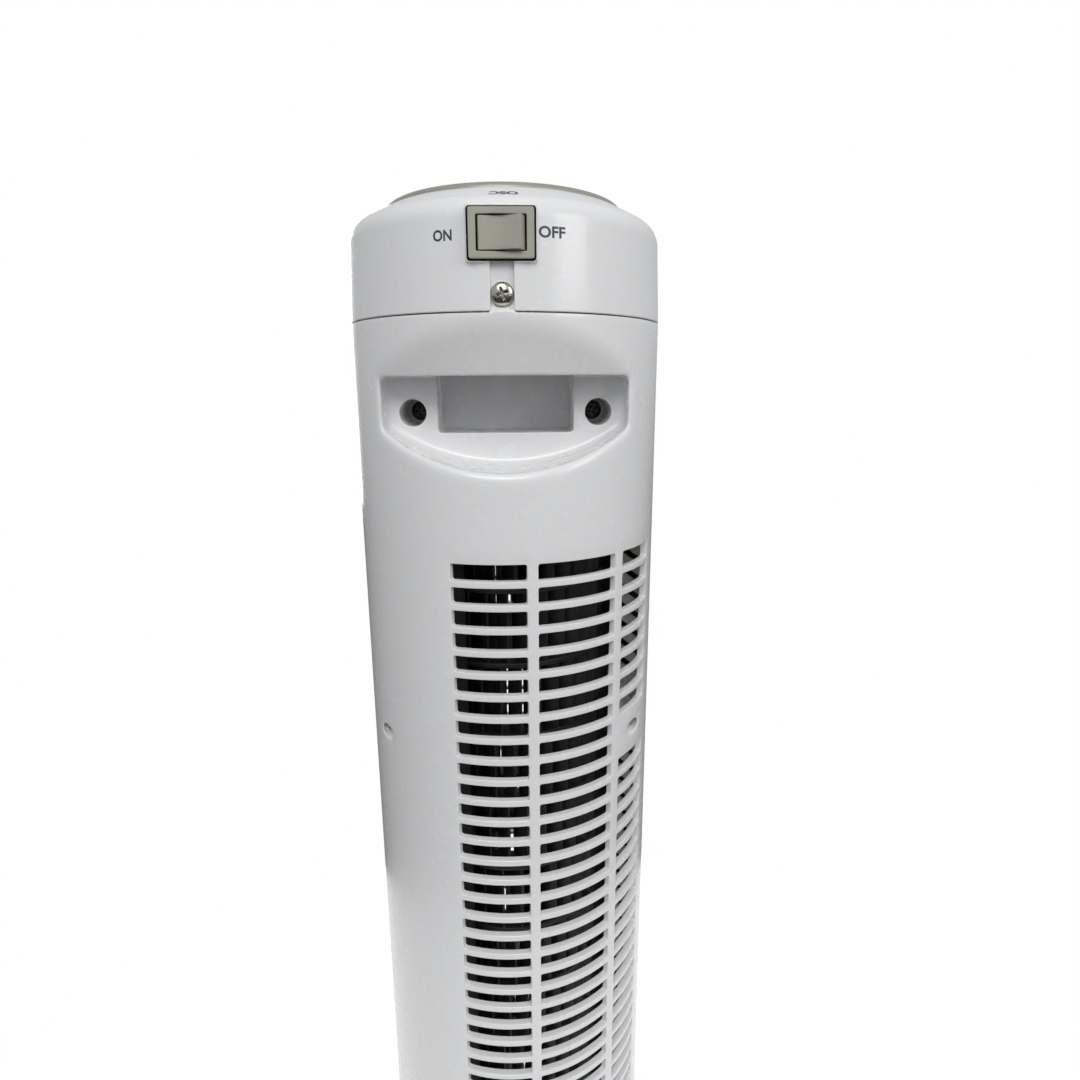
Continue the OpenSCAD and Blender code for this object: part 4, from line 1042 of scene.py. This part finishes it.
def switch_rocker():
    """The rocker with its +X end pressed in. Its face is a soft hollow, its ends turn about its axle."""
    reach = 7.5
    middle = 3.0
    slope = math.tan(math.radians(10))
    face = []
    for x in np.linspace(reach, -reach, 61):
        y = middle + slope * (math.sqrt(x * x + 5) - math.sqrt(5))
        if math.hypot(x, y) < reach:
            face.append((x, y))
    first = math.degrees(math.atan2(face[0][1], face[0][0]))
    left = arc(0, 0, reach, math.degrees(-0.6), first, 11)
    right = [(-x, y) for x, y in left[::-1]]
    end = [0.2] + [0] * 10 + [0.8]
    outline = rounded(left + face + right, end + [0] * len(face) + end[::-1])
    turned = turned_loop(outline, math.radians(-10)) + (0, ROCKER_AXIS_Y)
    solid = prism(Solid(), turned, SWITCH_Z - 5, SWITCH_Z + 5)
    prism(solid, circle_loop(0, ROCKER_AXIS_Y, 1.2, 32), SWITCH_Z - 5.9, SWITCH_Z + 5.9, 0.1)
    piece(weigh_normals(solid.object("rocker")), "switch_rocker", "osc_rocker", "switch_grey", "osc_rocker")


# ---------- Screws ----------

def screw_template(length, r, head_r, head_h):
    """A pan-head screw with a cross recess. Its head rests at the origin, its shank points to -Z."""
    outline = [(0, -length - r), (0.3, -length - r)]
    z, outer = -length, True
    while z < -1:
        outline.append((r if outer else r * 0.84, z))
        z, outer = z + 0.45, not outer
    outline += [(r * 0.84, 0), (head_r, 0)]
    outline += [(head_r * math.cos(t), head_h * (0.34 + 0.66 * math.sin(t)))
        for t in np.linspace(0, math.pi / 2, 10)]
    screw = lathe(Solid(), outline, 40).object("screw")
    for turn in (0, math.pi / 2):
        rings = []
        for up, reach, half in ((0.25, 0.26, 0.06), (0.7, 0.5, 0.105), (1.2, 0.6, 0.13)):
            loop = box_loop(-reach, reach, -half, half, 0.02, 2) * head_r
            rings.append(at_height(turned_loop(loop, turn), head_h * up))
        cutter = Solid()
        cutter.capped(rings)
        combine(screw, cutter.object("cross"))
    soften(screw, 0.03 * head_r, 40, lambda p: p.z > head_h * 0.6, segments=2, flatten=0)
    return screw


def screws(name, sizes, spots, twist, finish="screw_steel"):
    """Copies of one screw at each spot, with their heads to the rear."""
    template = screw_template(*sizes)
    to_rear = Matrix.Rotation(-math.pi / 2, 4, "X")
    copies = [linked(name, template.data.copy()) for _ in spots]
    for k, (copy, spot) in enumerate(zip(copies, spots)):
        turn = to_rear @ Matrix.Rotation(math.radians(twist + 67 * k), 4, "Z")
        copy.data.transform(Matrix.Translation(Vector(spot) * MM) @ turn)
    bpy.data.objects.remove(template)
    obj = merge(*copies)
    shade(obj.data, 30)
    piece(obj, name + "_turned", "tower", "screw_steel", name, finish=finish)


def all_screws():
    screws("cap_screw", (12, 1.75, 3.7, 2.2), [(0, BODY_R - 2, CAP_SCREW_Z)], 18)
    # The handle screws take the near-black painted-shade finish, for the shade deep in their holes.
    screws("handle_screws", (16, 1.75, 3.6, 2.2),
        [(x, HANDLE_SEAT_Y, HANDLE_Z) for x in (-HANDLE_X, HANDLE_X)], 31, "screw_painted_shade")
    screws("side_screws", (26, 1.5, 2.6, 1.8), [(x, SIDE_SEAT_Y, z) for x, z in SIDE_SPOTS], 8)


# ---------- Impeller ----------

def blade_loop(turn):
    """Section of one forward-curved blade, thin, with round edges."""
    steps = 7
    left, right = [], []
    for i in range(steps + 1):
        t = i / steps
        r = IMPELLER_R - 8.5 + t * 8.2
        a = turn + math.radians(1 + 7.5 * t ** 1.6)
        half = 0.48 - 0.14 * abs(2 * t - 1) ** 3
        left.append((r * math.cos(a) - half * math.sin(a), r * math.sin(a) + half * math.cos(a)))
        right.append((r * math.cos(a) + half * math.sin(a), r * math.sin(a) - half * math.cos(a)))
    return np.array(right + left[::-1])


def impeller():
    solid = Solid()
    pitch = (IMPELLER_Z1 - TOP_SEGMENT_H - IMPELLER_Z0 - DISC_T / 2) / SEGMENTS
    stagger = math.radians(360 / BLADES)
    for k in range(SEGMENTS + 1):
        z0 = IMPELLER_Z0 + k * pitch + DISC_T - 0.4
        z1 = IMPELLER_Z0 + (k + 1) * pitch + 0.4 if k < SEGMENTS else IMPELLER_Z1 - DISC_T + 0.4
        first = stagger * (0.37 * k % 1)
        for b in range(BLADES):
            loop = blade_loop(first + b * stagger)
            solid.capped([at_height(loop, z) for z in (z0, z1)])
        if k:
            ring = box_loop(IMPELLER_R - 10.5, IMPELLER_R, z0 + 0.4 - DISC_T, z0 + 0.4, 0.4, 3)
            lathe(solid, ring, 128)
    lathe(solid, rounded([(9, IMPELLER_Z0), (IMPELLER_R, IMPELLER_Z0), (IMPELLER_R, IMPELLER_Z0 + DISC_T),
        (9, IMPELLER_Z0 + DISC_T)], 0.4), 128)
    lathe(solid, rounded([(3, IMPELLER_Z1 - 10), (7, IMPELLER_Z1 - 10), (7, IMPELLER_Z1 - DISC_T),
        (IMPELLER_R + 1, IMPELLER_Z1 - DISC_T), (IMPELLER_R + 1, IMPELLER_Z1), (3, IMPELLER_Z1)],
        [0.3, 0.4, 0.8, 0.4, 0.4, 0.2]), 128)
    piece(solid.object("wheel", weld=0), "impeller_wheel", "rotor", "impeller_black", "impeller")


# ---------- Base ----------

def base_top():
    inner = DOME_R - WALL
    centre = (PLATEAU_R, BASE_Z1 - DOME_R)
    side = math.degrees(math.acos((BASE_R - PLATEAU_R) / DOME_R))
    inner_side = math.degrees(math.acos((BASE_R - WALL - PLATEAU_R) / inner))
    outer_arc = arc(*centre, DOME_R, side, 90, 28)
    inner_arc = arc(*centre, inner, 90, inner_side, 28)
    outline = [(BASE_R, DOME_EDGE_Z)] + outer_arc
    outline += [(PIVOT_BORE_R, BASE_Z1), (PIVOT_BORE_R, 30), (PIVOT_BORE_R + 3, 30),
        (PIVOT_BORE_R + 3, BASE_Z1 - WALL)]
    outline += inner_arc + [(BASE_R - WALL, DOME_EDGE_Z)]
    radii = [0.5, 2.5] + [0] * 28 + [0.6, 0.3, 0.3, 0.8] + [0] * 29 + [0.3]
    dome = lathe(Solid(), rounded(outline, radii, 6), 320).object("dome")
    notch = np.array(arc(0, GLAND_Z, GLAND_R, 0, 180, 16) + [(-GLAND_R, 0), (GLAND_R, 0)])
    combine(dome, prism(Solid(), notch, BASE_R - 10, BASE_R + 2, 0, along_y).object("notch"))
    soften(dome, 0.35, 40, lambda p: abs(p.x) < 5 and p.y > BASE_R - 4, flatten=0)
    piece(weigh_normals(dome), "base_dome", "base", "white_abs", "base_top")


def refined_nodes():
    """Copies of CAD meshes with their sharp edges rounded."""
    for node, width, slot, body in (
            ("tower_foot", 0.4, "white_abs", "tower"), ("base_bottom", 0.3, "white_abs", "base"),
            ("slide_ring", 0.15, "gear_nylon", "base"), ("rubber_feet", 0.35, "rubber_black", "base"),
            ("cord_gland", 0.3, "rubber_black", "base"),
            ("guard_comb", 0.3, "duct_cream", "tower"), ("air_tongue", 0.3, "duct_grey", "tower"),
            ("air_guide", 0.3, "duct_cream", "tower"), ("run_capacitor", 0.8, "capacitor_black", "tower"),
            ("timer_unit", 0.4, "timer_plastic", "tower"), ("speed_switch", 0.4, "control_plastic", "tower")):
        copy = linked(node + "_finish", nodes[node].data.copy())
        # The air guide, cream in its own slot, gets the near-black painted-shade finish for the shade inside
        # the tower.
        finish = "duct_painted_shade" if node == "air_guide" else None
        piece(weigh_normals(soften(copy, width, segments=2)), node + "_soft", body, slot, node, finish=finish)


rear_housing()
front_housing()
front_grille()
top_cap()
control_panel()
dial_scale(-DIAL_X, 180, -45, 4, {0: "0", 1: "1", 2: "2", 3: "3"}, "speed_scale")
dial_scale(DIAL_X, 180, -25, 13, {0: "0", 6: "60", 12: "120"}, "timer_scale")
dial(-DIAL_X, "speed_knob", "speed_dial")
dial(DIAL_X, "timer_knob", "timer_dial")
switch_body()
switch_rocker()
wall_label("ON", -18.15, SWITCH_Z + 0.1, 6.4, 3.4, "label_on")
wall_label("OFF", 15.55, SWITCH_Z + 0.95, 8.9, 3.5, "label_off")
slope_label("OSC", PANEL_R + 6.9, -0.8, 9.3, 3.6, "label_osc")
all_screws()
impeller()
base_top()
refined_nodes()


# ---------- Floor, light and camera ----------

def stage():
    """White to the camera, and a pale light that is dimmer from below."""
    world = bpy.data.worlds.new("studio")
    bpy.context.scene.world = world
    world.use_nodes = True
    tree = world.node_tree
    tree.nodes.clear()
    out, mix, path, seen, light, place, split = (tree.nodes.new("ShaderNode" + kind) for kind in (
        "OutputWorld", "MixShader", "LightPath", "Background", "Background", "TexCoord", "SeparateXYZ"))
    seen.inputs["Color"].default_value = (1, 1, 1, 1)
    light.inputs["Color"].default_value = (0.97, 0.985, 1, 1)
    link = tree.links.new
    link(place.outputs["Generated"], split.inputs[0])
    link(map_range(tree, split.outputs["Z"], -0.2, 0.1, 0.06, 0.53), light.inputs["Strength"])
    link(path.outputs["Is Camera Ray"], mix.inputs[0])
    link(light.outputs[0], mix.inputs[1])
    link(seen.outputs[0], mix.inputs[2])
    link(mix.outputs[0], out.inputs[0])


def floor():
    """A pale floor, nearly white where nothing shades it, whose glow fades towards the middle as a painted
    shadow round the base.
    """
    solid = Solid()
    solid.fill(solid.add(at_height(circle_loop(0, 0, 620, 128), 0)))
    obj = solid.object("floor", weld=0, recalc=False)
    mat = surface("floor", (0.80, 0.80, 0.80), 0.7, tint=0.01, blotch=6, depth=0.02, grain=400)
    shader = mat.node_tree.nodes["Principled BSDF"]
    shader.inputs["Emission Color"].default_value = (1, 1, 1, 1)
    tree = mat.node_tree
    place = tree.nodes.new("ShaderNodeTexCoord")
    reach = tree.nodes.new("ShaderNodeVectorMath")
    reach.operation = "LENGTH"
    tree.links.new(place.outputs["Object"], reach.inputs[0])
    # Painted shadow: the glow fades from 0.46 further out to 0.05 round the base.
    glow_with_painted_shadow = map_range(tree, reach.outputs["Value"], 0.16, 0.34, 0.05, 0.46)
    tree.links.new(glow_with_painted_shadow, shader.inputs["Emission Strength"])
    shader.inputs["Specular IOR Level"].default_value = 0.15
    obj.data.materials.append(mat)


def camera():
    data = bpy.data.cameras.new("camera")
    data.sensor_width = 36
    data.lens = 22.6
    data.clip_start = 0.01
    cam = linked("camera", data)
    place = Vector((-0.00445, 0.28346, 0.684))
    cam.matrix_world = (Matrix.Translation(place) @ Matrix.Rotation(math.radians(180.9) - 0.0465, 4, "Z")
        @ Matrix.Rotation(math.pi / 2 - 0.2245, 4, "X") @ Matrix.Rotation(-0.0059, 4, "Z"))
    bpy.context.scene.camera = cam


def area_light(name, place, target, size, power):
    data = bpy.data.lights.new(name, "AREA")
    data.shape = "RECTANGLE"
    data.size, data.size_y = size
    data.energy = power
    obj = linked(name, data)
    obj.location = place
    direction = Vector(target) - Vector(place)
    obj.rotation_euler = direction.to_track_quat("-Z", "Y").to_euler()


stage()
floor()
camera()
area_light("key", (0.1, 1.25, 1.72), (0, 0, 0.65), (0.9, 0.7), 10.5)
area_light("side", (-1.2, 1.05, 1.4), (0, 0, 0.6), (0.6, 0.8), 5.8)
area_light("streak", (-0.95, 1.25, 1.1), (0, 0, 0.65), (0.045, 1.1), 0.65)
area_light("front", (0.5, -1.8, 0.8), (0, 0, 0.4), (1.2, 1.0), 12)
bpy.context.scene.view_settings.view_transform = "Standard"
